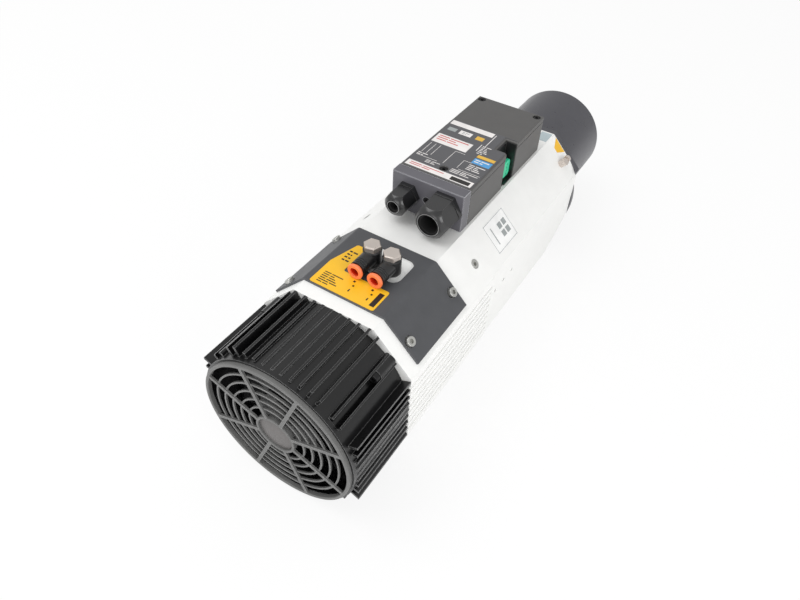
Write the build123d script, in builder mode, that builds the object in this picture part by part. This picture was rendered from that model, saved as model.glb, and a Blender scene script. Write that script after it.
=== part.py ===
"""Air-cooled tool-changing motor spindle: finned fan cowl, body extrusion, terminal box, nose."""
from build123d import *
import os
from math import atan, cos, degrees, radians, sin, sqrt, tan

os.makedirs("parts", exist_ok=True)

# --------------------------------------------------------------------------------------
# Driving dimensions, millimetres.
# The spindle axis is parallel to Y and the nose points to +Y.  Z = 0 is the mounting face
# under the body, and Y = 0 is the middle of the body's length.
# --------------------------------------------------------------------------------------

# Body extrusion: a square with its four long corners bevelled
BODY_LENGTH = 346.0
BODY_WIDTH = 150.0
BODY_BEVEL = 36.0
BODY_WALL = 17.0                # from the side faces to the bore
GROOVED_LENGTH = 143.0          # rear stretch of the side faces that carries grooves
GROOVE_COUNT = 8
GROOVE_PITCH = 8.0
GROOVE_WIDTH = 3.0
GROOVE_DEPTH = 1.3
SIDE_RELIEF = 1.2               # the smooth front stretch of the side faces lies this much lower
FRONT_RELIEF_LENGTH = 62.0      # turned run-out on the lower front corners
FRONT_RELIEF_RADIUS = 75.0
FRONT_TURN_LENGTH = 24.0        # turned run-out on every front corner below the bevels' middles
FRONT_TURN_RADIUS = 81.0
BEVEL_SHIFT = 2.4               # screw line of a bevel, from its middle toward the side face

# Mounting threads under the body
MOUNT_SPACING_X = 56.0
MOUNT_SPACING_Y = 270.0
MOUNT_TAP_RADIUS = 3.4          # M8
MOUNT_DEPTH = 16.0

# Fits and gaps
SEAT_GAP = 0.02                 # radial gap of pieces pressed or bolted into a bore
RUNNING_GAP = 0.05              # radial gap of a running or sliding pair
SCREW_GAP = 0.3                 # radial gap round a screw in its through hole
MOVING_GAP = 0.5                # free air between pieces that move past each other
SCREW_END_GAP = 1.0             # free thread below the end of a screw
EDGE_BREAK = 0.8                # chamfer of small turned pieces

# Socket screws: shank radius, head radius and head height
M4_RADIUS, M4_HEAD_RADIUS, M4_HEAD = 2.0, 3.5, 4.0
M5_RADIUS, M5_HEAD_RADIUS, M5_HEAD = 2.5, 4.25, 5.0
M6_RADIUS, M6_HEAD_RADIUS, M6_HEAD = 3.0, 5.0, 6.0
SOCKET_SHARE = 0.5              # socket circumradius as a share of the head's radius
SOCKET_DEPTH_SHARE = 0.55       # socket depth as a share of the head's height
HEAD_EDGE_SHARE = 0.08          # edge chamfer as a share of the head's height

# Fan cowl
COWL_LENGTH = 72.5              # length of the fins
COWL_RIM = 4.0                  # plain rim behind the fins
COWL_MARGIN = 0.5               # from the side faces to the core
COWL_WALL = 4.9
FIN_COUNT = 56                  # fins that would fill the whole turn
FIN_THICKNESS = 2.1
TOP_FINS = 11                   # fins over the top, and as many below
SIDE_FINS = 9                   # fins on each side
TROUGH_RADIUS = 4.9             # open channel of each cowl screw
TROUGH_WALL = 1.5
TROUGH_DROP = 2.0               # from the bevel to the channel's edges
BOSS_LENGTH = 19.5              # front stretch of the channel that is solid
BOSS_DEPTH = 5.1                # from the bevel to the screw
COWL_SCREW_GRIP = 12.0          # thread in the body

# Fan guard
GUARD_THICKNESS = 4.0
GUARD_STEP = 2.0                # rim inside the cowl's core
GUARD_EDGE = 1.0                # rounding of the rim's and hub's rear edges
GUARD_SPOKES = 8
GUARD_SPOKE_WIDTH = 3.0
GUARD_SPOKE_THICKNESS = 2.0
GUARD_SPOKE_ANGLE = 21.6
GUARD_RINGS = 5
GUARD_SPOKE_DROP = 0.4          # spokes ahead of the rim's rear face
GUARD_RING_WIDTH = 1.5
GUARD_RING_THICKNESS = 1.8
HUB_RADIUS = 19.4
HUB_RIM_WIDTH = 2.4
HUB_RIM_THICKNESS = 4.4
HUB_DISC_THICKNESS = 2.0
HUB_DOME = 1.6

# Fan
FAN_MOTOR_RADIUS = 24.0
FAN_MOTOR_LENGTH = 24.0
FAN_HUB_RADIUS = 29.0
FAN_HUB_LENGTH = 38.0
FAN_HUB_WALL = 3.0
FAN_TIP_GAP = 3.6               # from the blade tips to the cowl's bore
FAN_BLADES = 7
FAN_BLADE_CHORD = 34.0
FAN_ROOT_SHARE = 0.8            # chord at the root as a share of the chord at the tip
FAN_BLADE_THICKNESS = 2.2
FAN_ROOT_PITCH = 52.0           # degrees from the fan's plane
FAN_TIP_PITCH = 28.0
FAN_AXLE_RADIUS = 4.0
FAN_MOUNT_THICKNESS = 4.0
FAN_MOUNT_STEP = 3.0            # mount's disc beyond the motor
FAN_MOUNT_ARMS = 4
FAN_ARM_WIDTH = 9.0
FAN_STANDOFF = 22.0             # free depth between the body's rear face and the fan's mount

# Port plate wrapped over the top and both upper bevels
PLATE_START = 13.4              # from the body's rear face
PLATE_LENGTH = 79.4
PLATE_THICKNESS = 2.0
PLATE_FOLD_RADIUS = 3.6
PLATE_MARGIN = 5.0              # from the plate's edge to the lower end of the bevel
PLATE_SCREW_INSET = 6.2
PLATE_SCREW_HOLE = 4.9          # radius of the hole that the head stands in
WINDOW_STATION = 65.8           # from the body's rear face
WINDOW_LENGTH = 44.6
WINDOW_WIDTH = 33.0
WINDOW_RADIUS = 8.0
PLATE_SCREW_GRIP = 9.0

# Push-in elbows on their hollow screws
PORT_PITCH = 19.2
PORT_MIDDLE_X = 5.2
PORT_STATION = 61.8             # from the body's rear face
PORT_BOLT_RADIUS = 4.8          # G1/8
PORT_GRIP = 8.0
PORT_PASSAGE = 2.0
PORT_WASHER_THICKNESS = 1.0
PORT_WASHER_RADIUS = 7.2
BANJO_RADIUS = 8.2
BANJO_HEIGHT = 16.0
SLEEVE_RISE = 8.7               # sleeve axis above the washer
BOLT_HEX = 13.5                 # across flats
BOLT_HEX_HEIGHT = 5.0
BOLT_HEX_TURN = 12.0            # degrees
BOLT_COLLAR_INSET = 0.4         # collar under the hexagon, from its flats
ELBOW_LENGTH = 22.0             # from the screw's axis to the end of the sleeve
ELBOW_RADIUS = 7.0
TUBE_RADIUS = 4.1               # takes an 8 mm tube
TUBE_DEPTH = 14.0
ELBOW_RIBS = 3                  # grip grooves round the sleeve
ELBOW_RIB_START = 7.0           # from the sleeve's end
ELBOW_RIB_PITCH = 2.2
ELBOW_RIB_WIDTH = 0.9
ELBOW_RIB_DEPTH = 0.5
COLLET_RADIUS = 5.2
COLLET_FLANGE_RADIUS = 7.2
COLLET_FLANGE = 2.2
COLLET_TRAVEL = 1.5
COLLET_DEPTH = 10.0

# Other screws on the bevels, and tapped marks on the side
BODY_SCREW_STATION = 132.0
BODY_SCREW_COUNTERBORE = 5.0
SIDE_HOLES = 3
SIDE_HOLE_RADIUS = 2.0
SIDE_HOLE_DEPTH = 8.0
SIDE_HOLE_STATION = 155.0
SIDE_HOLE_PITCH = 18.0
SIDE_HOLE_RISE = 12.0           # above the axis

# Terminal box
BOX_START = 140.4               # from the body's rear face
BOX_LENGTH = 166.6
BOX_WIDTH = 73.0
BOX_HEIGHT = 38.0
BOX_WALL = 3.0
BOX_COVER = 5.0
BOX_GASKET = 0.8
GASKET_INSET = 0.4              # gaskets lie this far inside the box's outline
CAP_THICKNESS = 12.9            # with its gasket
CAP_EDGE = 0.8
BOX_SCREW_GRIP = 9.0
COVER_EDGE = 1.0
COVER_RECESS = 3.4              # depth of the screw pockets in the cover
CAP_SCREW_GRIP = 7.0            # thread of the end cap's screw in the box
BOX_POST = 4.5                  # radius of the screw posts inside the box
BOX_SCREW_INSET = 5.6
REAR_POST_INSET = 15.0          # from the end cap's joint
LOW_HEAD_DROP = 0.6             # screw heads below the edge of their pockets
BAY_START = 71.2                # from the end cap's joint
BAY_LENGTH = 21.5
BAY_DEPTH = 12.0
BAY_ROUND = 4.0
CABLE_DUCT_RADIUS = 9.0
TERMINAL_POLES = 5
TERMINAL_PITCH = 9.0
TERMINAL_DEPTH = 16.0
TERMINAL_HEIGHT = 14.0
TERMINAL_X = -4.0
TERMINAL_SCREW = 2.4            # radius of the screw wells
TERMINAL_WELL_SHARE = 0.4       # depth of the wells as a share of the height

# Pluggable signal connector in the bay of the box
SOCKET_WALL = 1.2               # lining of the bay
SOCKET_DROP = 1.5               # from the box's top to the lining's edge
SOCKET_DEPTH = 3.5              # along X, from the bay's inner wall
SOCKET_LENGTH = 16.0
SOCKET_HEIGHT = 20.0
SOCKET_RISE = 3.0               # above the body's top face
PLUG_DEPTH = 5.0
PLUG_LENGTH = 14.2
PLUG_HEIGHT = 18.0
PLUG_ROUND = 4.0
PLUG_EDGE = 1.2
PLUG_POLES = 4
PLUG_HOLE = 1.2

# Cable glands: offset from the box's middle, hexagon, cable radius, length
GLAND_RISE = 19.0               # above the body's top face
SMALL_GLAND_X = -19.5
SMALL_GLAND_HEX = 22.0
SMALL_GLAND_CABLE = 4.0
SMALL_GLAND_LENGTH = 25.0
LARGE_GLAND_X = 18.8
LARGE_GLAND_HEX = 31.0
LARGE_GLAND_CABLE = 8.6
LARGE_GLAND_LENGTH = 29.0
GLAND_FLANGE = 5.0
GLAND_SEAL_WALL = 1.6
GLAND_SHOULDER = 3.0            # hexagon's inner radius less the thread's radius
GLAND_TIP = 3.2                 # wall of the nut round the cable opening
GLAND_THREAD_SHARE = 0.5        # how far the body reaches into the nut
GLAND_HEX_SHARE = 0.4           # hexagonal share of the nut's length
GLAND_NUT_STEP = 0.5            # how much closer the nut's flats are to its axis
GLAND_BULGE = 0.6               # of the nut's dome
GLAND_SEAL_INSET = 1.5          # of the seal in the nut's mouth

# Labels: thin plates
LABEL_THICKNESS = 0.3
PORT_LABEL_WIDTH = 62.8
PORT_LABEL_LENGTH = 58.0        # of the strip beside the window
PORT_LABEL_SHORT = 24.8         # behind the window
PORT_LABEL_TAPER = 8.0          # loss of width toward the strip's end
PORT_LABEL_TAPER_LENGTH = 29.0
PORT_LABEL_X = -2.9
LABEL_ROUND = 2.0
LABEL_GAP = 0.8                 # port label, from the plate's rear edge
WINDOW_LIP = 0.5                # bare plate round the window
BOX_LABEL_MARGIN = 1.5          # from the box's sides
BAY_MARGIN = 2.0                # bare cover round the bay
SCREW_MARGIN = 1.0              # bare cover round a screw head
BOX_LABEL_LENGTH = 94.0
BOX_LABEL_START = 1.5           # from the end cap's joint

# Small fitting on the front bevel
FITTING_STATION = 19.3          # from the body's front face
FITTING_HEX = 7.0
FITTING_HEIGHT = 8.0
FITTING_SPIGOT = 2.5
FITTING_GRIP = 8.0
FITTING_RISE = 5.0              # nipple's axis above the bevel
FITTING_RADIUS = 2.2
FITTING_LENGTH = 8.5
FITTING_COLLAR = 3.6
FITTING_COLLAR_LENGTH = 5.0
FITTING_CAP_END = 2.0           # thickness of the cap's closed end

# Nose
FLANGE_THICKNESS = 6.5
NOSE_RADIUS = 55.7
NOSE_LENGTH = 127.0             # from the body's front face to the cap's joint
NOSE_CAP_THICKNESS = 7.0
NOSE_EDGE = 1.8
NOSE_BORE = 43.0                # radius behind the bearings
PILOT_LENGTH = 42.0             # spigot inside the body
FLANGE_SCREWS = 8
FLANGE_SCREW_STEP = 8.5         # from the body's bore to the screws' circle
FLANGE_SCREW_GRIP = 14.0
CAP_SCREWS = 8
CAP_SCREW_CIRCLE = 51.4
CAP_SCREW_GRIP_DEPTH = 10.0     # thread in the nose
CAP_POCKET = 4.4                # depth of the head pockets

# Spindle shaft
SHAFT_RADIUS = 30.0             # front journal and motor seat
SHAFT_REAR_RADIUS = 22.5
SHAFT_FLANGE_RADIUS = 34.9      # nose of the shaft
SHAFT_FLANGE_LENGTH = 34.0
SHAFT_PROUD = 8.0               # shaft nose ahead of the cap
TAPER_GAUGE_RADIUS = 15.875     # 7:24 taper, size 30
TAPER_LENGTH = 48.0
TAPER_RATIO = 7.0 / 24.0
GRIPPER_BORE = 12.0
GRIPPER_CHAMBER = 44.0
GUIDE_LENGTH = 45.0
KEY_WIDTH = 15.9
KEY_LENGTH = 12.0
KEY_SEAT = 4.5                  # depth of the key's slot in the shaft's face
KEY_INNER = 18.5                # radius at the key's inner end
KEY_OUTER = 33.5

# Rolling bearings: outer radius and width; the bore follows the shaft
FRONT_BEARING_RADIUS = 47.5
FRONT_BEARING_WIDTH = 18.0
FRONT_BEARINGS = 2
BEARING_SPACER = 12.0
REAR_BEARING_RADIUS = 37.5
REAR_BEARING_WIDTH = 16.0
BEARING_RING_SHARE = 0.30       # thickness of each ring as a share of the section
BALL_SHARE = 0.0594             # ball radius as a share of the pitch diameter
BALLS = 16
CAGE_SHARE = 0.34               # cage width as a share of the bearing's width
CAGE_THICKNESS = 2.0
SLEEVE_WALL = 5.0               # of the spacer sleeves on the shaft
SHAFT_CLEARANCE = 3.0           # round the shaft in the rear bearing's housing
REAR_HOUSING_THICKNESS = 20.0
REAR_HOUSING_LIP = 4.0
LOCK_NUT_WIDTH = 10.0
LOCK_NUT_RADIUS = 31.0
LOCK_NUT_SLOTS = 4
LOCK_SLOT_DEPTH = 2.5
LOCK_SLOT_WIDTH = 6.0
NUT_GAP = 1.0                   # between the pieces in front of the shaft's rear end
SHAFT_TAIL = 4.0                # drawbar behind the shaft
SPEED_RING_WIDTH = 6.0
SPEED_RING_RADIUS = 30.0
SPEED_RING_TEETH = 24
SPEED_TOOTH_DEPTH = 2.5
SPEED_TOOTH_WIDTH = 3.6
SENSOR_RADIUS = 4.0
SENSOR_GAP = 0.6
SENSOR_BLOCK_WIDTH = 14.0
SENSOR_BLOCK_START = 40.0       # radius
SENSOR_BLOCK_GAP = 6.0          # from the block's top to the body's bore

# Motor
STATOR_RADIUS_GAP = 0.6         # air gap between rotor and stator
ROTOR_RADIUS = 37.0
MOTOR_LENGTH = 132.0
STATOR_START = 150.0            # from the body's rear face
STATOR_SLOTS = 24
SLOT_DEPTH = 9.0
SLOT_WIDTH = 3.4
WINDING_LENGTH = 14.0
WINDING_WALL = 9.0
WINDING_STEP = 1.6              # from the stator's bore to the windings
WINDING_ROUND = 3.0
SLOT_OPENING = 1.0              # of each slot into the stator's bore
SLOT_LINER = 1.2                # free depth at the bottom of each slot
WIRE_STEP = 0.2                 # bars in the slots, from the inside of the windings

# Drawbar, disc springs and release cylinder
DRAWBAR_RADIUS = 9.0
RELEASE_TRAVEL = 6.0
SPRING_RADIUS = 15.6
SPRING_BORE = 9.3
SPRING_CHAMBER = 16.0
SPRING_SHEET = 2.4
SPRING_CONE = 1.0
SPRING_PAIRS = 8
SPRING_GAP = 0.3
WASHER_AIR = 0.05               # between neighbouring washers
DRAWBAR_NUT = 14.0
DRAWBAR_STEM = 6.0              # radius of the threaded front end
DRAWBAR_STEM_LENGTH = 9.0
GRIPPER_RADIUS = 11.6
GRIPPER_FINGERS = 4
GRIPPER_LENGTH = 32.0
GRIPPER_INNER = 8.2             # radius between the fingers
GRIPPER_SLOT = 1.6
GRIPPER_ROOT = 2.0              # ring behind the slots
GRIPPER_LIP = 6.6               # radius between the hooks of the fingers
GRIPPER_LIP_LENGTH = 3.5
COVER_START = 22.0              # release unit, from the body's rear face
COVER_THICKNESS = 10.0
CYLINDER_LENGTH = 42.0
CYLINDER_END = 6.0
CYLINDER_WALL = 8.0
PISTON_THICKNESS = 12.0
PISTON_START = 11.0             # ahead of the cylinder's rear end
PISTON_ROD = 11.9
PISTON_SEAL = 1.6               # radius of the sealing ring's section
SEAL_GROOVE = 4.2               # width
AIR_GROOVE_WIDTH = 5.0
AIR_GROOVE_DEPTH = 3.0
AIR_GROOVE_DROP = 2.5           # further depth, for the fall of the round face beside the middle
AIR_HOLE_INSET = 4.0            # air holes, from each end of the cylinder's chamber
RETAINER_THICKNESS = 2.0
RETAINER_STEP = 2.0             # ring's reach into the body
RETAINER_WIDTH = 5.0
RETAINER_OPENING = 12.0
PUSH_GAP = 0.5                  # between the piston's rod and the drawbar

# --------------------------------------------------------------------------------------
# Places worked out from the driving dimensions
# --------------------------------------------------------------------------------------
HALF = BODY_WIDTH / 2
AXIS_HEIGHT = HALF
FLAT_HALF = HALF - BODY_BEVEL
BEVEL_MIDDLE = (HALF + FLAT_HALF) / 2
BODY_BORE = HALF - BODY_WALL    # radius
REAR = -BODY_LENGTH / 2
FRONT = BODY_LENGTH / 2
DIAGONAL = sqrt(0.5)
SPINDLE_AXIS = Axis((0, 0, AXIS_HEIGHT), (0, 1, 0))

COWL_CORE_RADIUS = HALF - COWL_MARGIN
COWL_BORE = COWL_CORE_RADIUS - COWL_WALL
BOSS_CIRCLE = BEVEL_MIDDLE / DIAGONAL - BOSS_DEPTH
BOSS_TURN = degrees(atan(BEVEL_SHIFT / BOSS_CIRCLE))
BOSS_ANGLES = [45 - BOSS_TURN, 135 + BOSS_TURN, 225 - BOSS_TURN, 315 + BOSS_TURN]
FAN_TIP_RADIUS = COWL_BORE - FAN_TIP_GAP
FLANGE_SCREW_CIRCLE = BODY_BORE + FLANGE_SCREW_STEP
RETAINER_RADIUS = BODY_BORE + RETAINER_STEP
COWL_REAR = REAR - COWL_LENGTH
GUARD_FRONT = COWL_REAR - COWL_RIM
GUARD_REAR = GUARD_FRONT - GUARD_THICKNESS
PORTS_X = [PORT_MIDDLE_X - PORT_PITCH / 2, PORT_MIDDLE_X + PORT_PITCH / 2]
PORT_Y = REAR + PORT_STATION
WINDOW_Y = REAR + WINDOW_STATION
BOX_REAR = REAR + BOX_START
BOX_JOINT = BOX_REAR + CAP_THICKNESS
BOX_FRONT = BOX_REAR + BOX_LENGTH
BOX_TOP = BODY_WIDTH + BOX_HEIGHT
BOX_RIM = BOX_TOP - BOX_COVER - BOX_GASKET
GLAND_HEIGHT = BODY_WIDTH + GLAND_RISE
NOSE_JOINT = FRONT + NOSE_LENGTH
NOSE_END = NOSE_JOINT + NOSE_CAP_THICKNESS
SHAFT_END = NOSE_END + SHAFT_PROUD
CYLINDER_REAR = REAR + COVER_START + COVER_THICKNESS
CYLINDER_FRONT = CYLINDER_REAR + CYLINDER_LENGTH + CYLINDER_END
DRAWBAR_REAR = CYLINDER_FRONT + PUSH_GAP
SHAFT_REAR = DRAWBAR_REAR + SHAFT_TAIL
SPEED_RING_START = SHAFT_REAR + NUT_GAP
LOCK_NUT_START = SPEED_RING_START + SPEED_RING_WIDTH + NUT_GAP
REAR_BEARING_START = LOCK_NUT_START + LOCK_NUT_WIDTH
SHAFT_STEP = REAR_BEARING_START + REAR_BEARING_WIDTH
STATOR_REAR = REAR + STATOR_START
STATOR_FRONT = STATOR_REAR + MOTOR_LENGTH
STATOR_BORE = ROTOR_RADIUS + STATOR_RADIUS_GAP
FLANGE_BACK = SHAFT_END - SHAFT_FLANGE_LENGTH
BEARING_STACK = FRONT_BEARINGS * FRONT_BEARING_WIDTH + BEARING_SPACER
BEARINGS_START = FLANGE_BACK - BEARING_STACK
TAPER_SMALL_RADIUS = TAPER_GAUGE_RADIUS - TAPER_LENGTH * TAPER_RATIO / 2
TAPER_BACK = SHAFT_END - TAPER_LENGTH
CHAMBER_BACK = TAPER_BACK - GRIPPER_CHAMBER
SPRING_SEAT = CHAMBER_BACK - GUIDE_LENGTH
WASHER_PITCH = SPRING_SHEET + SPRING_CONE
PACK_LENGTH = 2 * SPRING_PAIRS * WASHER_PITCH
PACK_GAP = RELEASE_TRAVEL / 3 + SPRING_GAP


# --------------------------------------------------------------------------------------
# Planes and small shared shapes
# --------------------------------------------------------------------------------------
def upright(x, y, z):
    """Cross plane at a point, seen from the rear: X right, Z up; sketches extrude rearwards."""
    return Plane(origin=(x, y, z), x_dir=(1, 0, 0), z_dir=(0, -1, 0))


def section(y):
    """Cross plane of the spindle axis at y."""
    return upright(0, y, AXIS_HEIGHT)


def bevel_plane(side, y):
    """Plane on the screw line of the right (+1) or left (-1) upper bevel, facing outwards."""
    shift = BEVEL_SHIFT * DIAGONAL
    origin = (side * (BEVEL_MIDDLE + shift), y, AXIS_HEIGHT + BEVEL_MIDDLE - shift)
    return Plane(origin=origin, x_dir=(0, 1, 0), z_dir=(side, 0, 1))


def top_plane(x, y, z):
    """Plane that faces upwards at a point."""
    return Plane(origin=(x, y, z), x_dir=(1, 0, 0), z_dir=(0, 0, 1))


def octagon(inset=0.0, mode=Mode.ADD):
    """Body section, drawn into the open sketch, moved inwards all round by inset."""
    half = HALF - inset
    flat = FLAT_HALF - inset * tan(radians(22.5))
    quarter = [(half, -flat), (half, flat), (flat, half), (-flat, half)]
    Polygon(*quarter, *[(-x, -z) for x, z in quarter], mode=mode)


def disc(start, end, radius, bore=0.0, mode=Mode.ADD):
    """Disc or ring about the spindle axis, from one y to another, in the open part."""
    with BuildSketch(section(end)) as ring:
        Circle(radius)
        if bore > 0:
            Circle(bore, mode=Mode.SUBTRACT)
    extrude(ring.sketch, amount=end - start, mode=mode)


def cowl_screw_circles(start, radius, length, mode=Mode.SUBTRACT):
    """A cylinder on each cowl screw's axis, from y = start rearwards, in the open part."""
    with BuildSketch(section(start)) as circles:
        for angle in BOSS_ANGLES:
            with PolarLocations(BOSS_CIRCLE, 1, start_angle=angle):
                Circle(radius)
    extrude(circles.sketch, amount=length, mode=mode)


def socket_screw(shank, head, height, grip):
    """A socket head screw standing on Z = 0, with its shank below."""
    with BuildPart() as screw:
        Cylinder(head, height, align=(Align.CENTER, Align.CENTER, Align.MIN))
        chamfer(screw.edges().sort_by(Axis.Z)[-1], height * HEAD_EDGE_SHARE)
        Cylinder(shank, grip, align=(Align.CENTER, Align.CENTER, Align.MAX))
        with BuildSketch(Plane.XY.offset(height)) as socket:
            RegularPolygon(head * SOCKET_SHARE, 6)
        extrude(socket.sketch, amount=-height * SOCKET_DEPTH_SHARE, mode=Mode.SUBTRACT)
    return screw.part


def save(part, name):
    """Label a finished part and write its STEP file."""
    part.label = name
    export_step(part, f"parts/{name}.step")


# --------------------------------------------------------------------------------------
# Body extrusion
# --------------------------------------------------------------------------------------
PLATE_SCREW_Y = [
    REAR + PLATE_START + PLATE_SCREW_INSET,
    REAR + PLATE_START + PLATE_LENGTH - PLATE_SCREW_INSET,
]
BODY_SCREW_Y = REAR + BODY_SCREW_STATION
SIDES = [1, -1]
FITTING_Y = FRONT - FITTING_STATION
DUCT_Y = STATOR_FRONT + WINDING_LENGTH / 2

with BuildPart() as body_housing:
    with BuildSketch(section(FRONT)):
        octagon()
    extrude(amount=BODY_LENGTH)

    # smooth, slightly lower front stretch of both side faces
    with BuildSketch(section(FRONT)):
        with Locations((HALF, 0), (-HALF, 0)):
            Rectangle(2 * SIDE_RELIEF, BODY_WIDTH)
    extrude(amount=BODY_LENGTH - GROOVED_LENGTH, mode=Mode.SUBTRACT)

    # long grooves in the rear stretch of both side faces
    with BuildSketch(section(REAR + GROOVED_LENGTH)):
        for side in SIDES:
            with Locations((side * HALF, 0)):
                with GridLocations(0, GROOVE_PITCH, 1, GROOVE_COUNT):
                    Rectangle(2 * GROOVE_DEPTH, GROOVE_WIDTH)
    extrude(amount=GROOVED_LENGTH, mode=Mode.SUBTRACT)

    # turned run-out of the front corners, longer and deeper on the lower half
    corner = sqrt(HALF**2 + FLAT_HALF**2) + 1.0
    for radius, length, rise in (
        (FRONT_TURN_RADIUS, FRONT_TURN_LENGTH, 45),
        (FRONT_RELIEF_RADIUS, FRONT_RELIEF_LENGTH, 0),
    ):
        outward = Vector(cos(radians(rise)), 0, sin(radians(rise)))
        normal = Vector(-sin(radians(rise)), 0, cos(radians(rise)))
        turned_plane = Plane(origin=(0, 0, AXIS_HEIGHT), x_dir=outward, z_dir=normal)
        with BuildSketch(turned_plane) as turned:
            with BuildLine():
                Polyline((corner, FRONT - length), (radius, FRONT), (corner, FRONT), close=True)
            make_face()
        arc = 180 + 2 * rise
        revolve(turned.sketch, axis=SPINDLE_AXIS, revolution_arc=arc, mode=Mode.SUBTRACT)

    # one bore from end to end takes the release unit, the motor and the nose's pilot
    disc(REAR, FRONT, BODY_BORE, mode=Mode.SUBTRACT)
    groove_end = REAR + COVER_START
    groove_start = groove_end - RETAINER_THICKNESS - RUNNING_GAP
    disc(groove_start, groove_end, RETAINER_RADIUS + SCREW_GAP, mode=Mode.SUBTRACT)

    # threads: mounting face, nose flange, cowl
    with Locations(Plane(origin=(0, 0, 0), x_dir=(1, 0, 0), z_dir=(0, 0, -1))):
        with GridLocations(MOUNT_SPACING_X, MOUNT_SPACING_Y, 2, 2):
            Hole(MOUNT_TAP_RADIUS, depth=MOUNT_DEPTH)
    with BuildSketch(section(FRONT)):
        with PolarLocations(FLANGE_SCREW_CIRCLE, FLANGE_SCREWS, start_angle=180 / FLANGE_SCREWS):
            Circle(M6_RADIUS + SEAT_GAP)
    extrude(amount=FLANGE_SCREW_GRIP, mode=Mode.SUBTRACT)
    cowl_screw_circles(REAR + COWL_SCREW_GRIP, M5_RADIUS + SEAT_GAP, COWL_SCREW_GRIP)

    # holes in the upper bevels: port plate, spare counterbored screws, front fitting
    for side in SIDES:
        for y in PLATE_SCREW_Y:
            with Locations(bevel_plane(side, y)):
                Hole(M5_RADIUS + SEAT_GAP, depth=PLATE_SCREW_GRIP)
        with Locations(bevel_plane(side, BODY_SCREW_Y)):
            CounterBoreHole(
                M5_RADIUS + SEAT_GAP,
                M5_HEAD_RADIUS + SCREW_GAP,
                BODY_SCREW_COUNTERBORE,
                depth=BODY_SCREW_COUNTERBORE + PLATE_SCREW_GRIP,
            )
    with Locations(bevel_plane(1, FITTING_Y)):
        Hole(FITTING_SPIGOT + SEAT_GAP, depth=FITTING_GRIP)

    # air ports, with their passages into the release cylinder
    for x in PORTS_X:
        with Locations(top_plane(x, PORT_Y, BODY_WIDTH)):
            CounterBoreHole(
                PORT_PASSAGE, PORT_BOLT_RADIUS + SEAT_GAP, PORT_GRIP, depth=HALF
            )

    # cable duct between the terminal box and the windings
    with Locations(top_plane(0, DUCT_Y, BODY_WIDTH)):
        Hole(CABLE_DUCT_RADIUS, depth=HALF)

    # tapped holes in the right side face
    for index in range(SIDE_HOLES):
        y = REAR + SIDE_HOLE_STATION + index * SIDE_HOLE_PITCH
        origin = (HALF - SIDE_RELIEF, y, AXIS_HEIGHT + SIDE_HOLE_RISE)
        with Locations(Plane(origin=origin, x_dir=(0, 1, 0), z_dir=(1, 0, 0))):
            Hole(SIDE_HOLE_RADIUS, depth=SIDE_HOLE_DEPTH)
save(body_housing.part, "body_housing")


# --------------------------------------------------------------------------------------
# Finned fan cowl behind the body, and its screws
# --------------------------------------------------------------------------------------
FIN_PITCH = 360 / FIN_COUNT
FIN_REACH = HALF * sqrt(2) - COWL_CORE_RADIUS
FIN_MIDDLE = COWL_CORE_RADIUS + FIN_REACH / 2
FIN_ROWS = [(0, SIDE_FINS), (90, TOP_FINS), (180, SIDE_FINS), (270, TOP_FINS)]

with BuildPart() as cooling_cowl:
    with BuildSketch(section(REAR)):
        for middle, fins in FIN_ROWS:
            start = middle - (fins - 1) / 2 * FIN_PITCH
            for index in range(fins):
                with PolarLocations(FIN_MIDDLE, 1, start_angle=start + index * FIN_PITCH):
                    Rectangle(FIN_REACH + 2, FIN_THICKNESS)
        octagon(mode=Mode.INTERSECT)
        Circle(COWL_CORE_RADIUS)
        Circle(COWL_BORE, mode=Mode.SUBTRACT)
    extrude(amount=COWL_LENGTH)
    disc(GUARD_FRONT, COWL_REAR, COWL_CORE_RADIUS, COWL_BORE)

    # walls of the four screw channels, then the channels, each closed by a boss at the front
    with BuildSketch(section(REAR)) as channel_walls:
        for angle in BOSS_ANGLES:
            with PolarLocations(BOSS_CIRCLE, 1, start_angle=angle):
                Circle(TROUGH_RADIUS + TROUGH_WALL)
        octagon(TROUGH_DROP, mode=Mode.INTERSECT)
        Circle(COWL_BORE, mode=Mode.SUBTRACT)
    extrude(channel_walls.sketch, amount=COWL_LENGTH)
    cowl_screw_circles(REAR, TROUGH_RADIUS, BOSS_LENGTH, mode=Mode.ADD)
    cowl_screw_circles(REAR, M5_RADIUS + SCREW_GAP, BOSS_LENGTH)
    cowl_screw_circles(REAR - BOSS_LENGTH, TROUGH_RADIUS, COWL_LENGTH - BOSS_LENGTH)
save(cooling_cowl.part, "cooling_cowl")

cowl_screw = socket_screw(
    M5_RADIUS, M5_HEAD_RADIUS, M5_HEAD, BOSS_LENGTH + COWL_SCREW_GRIP - SCREW_END_GAP
)
with BuildPart() as cowl_screws:
    for angle in BOSS_ANGLES:
        with Locations(section(REAR - BOSS_LENGTH)):
            with PolarLocations(BOSS_CIRCLE, 1, start_angle=angle, rotate=False):
                add(cowl_screw)
save(cowl_screws.part, "cowl_screws")


# --------------------------------------------------------------------------------------
# Fan guard, fan motor, its mount and the fan
# --------------------------------------------------------------------------------------
RING_STEP = (COWL_BORE - HUB_RADIUS) / (GUARD_RINGS + 1)
HUB_INNER = HUB_RADIUS - HUB_RIM_WIDTH
FAN_MOUNT_FRONT = REAR - FAN_STANDOFF
FAN_MOTOR_FRONT = FAN_MOUNT_FRONT - FAN_MOUNT_THICKNESS
FAN_MOTOR_REAR = FAN_MOTOR_FRONT - FAN_MOTOR_LENGTH
FAN_HUB_FRONT = FAN_MOTOR_FRONT - MOVING_GAP
FAN_HUB_REAR = FAN_HUB_FRONT - FAN_HUB_LENGTH

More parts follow.
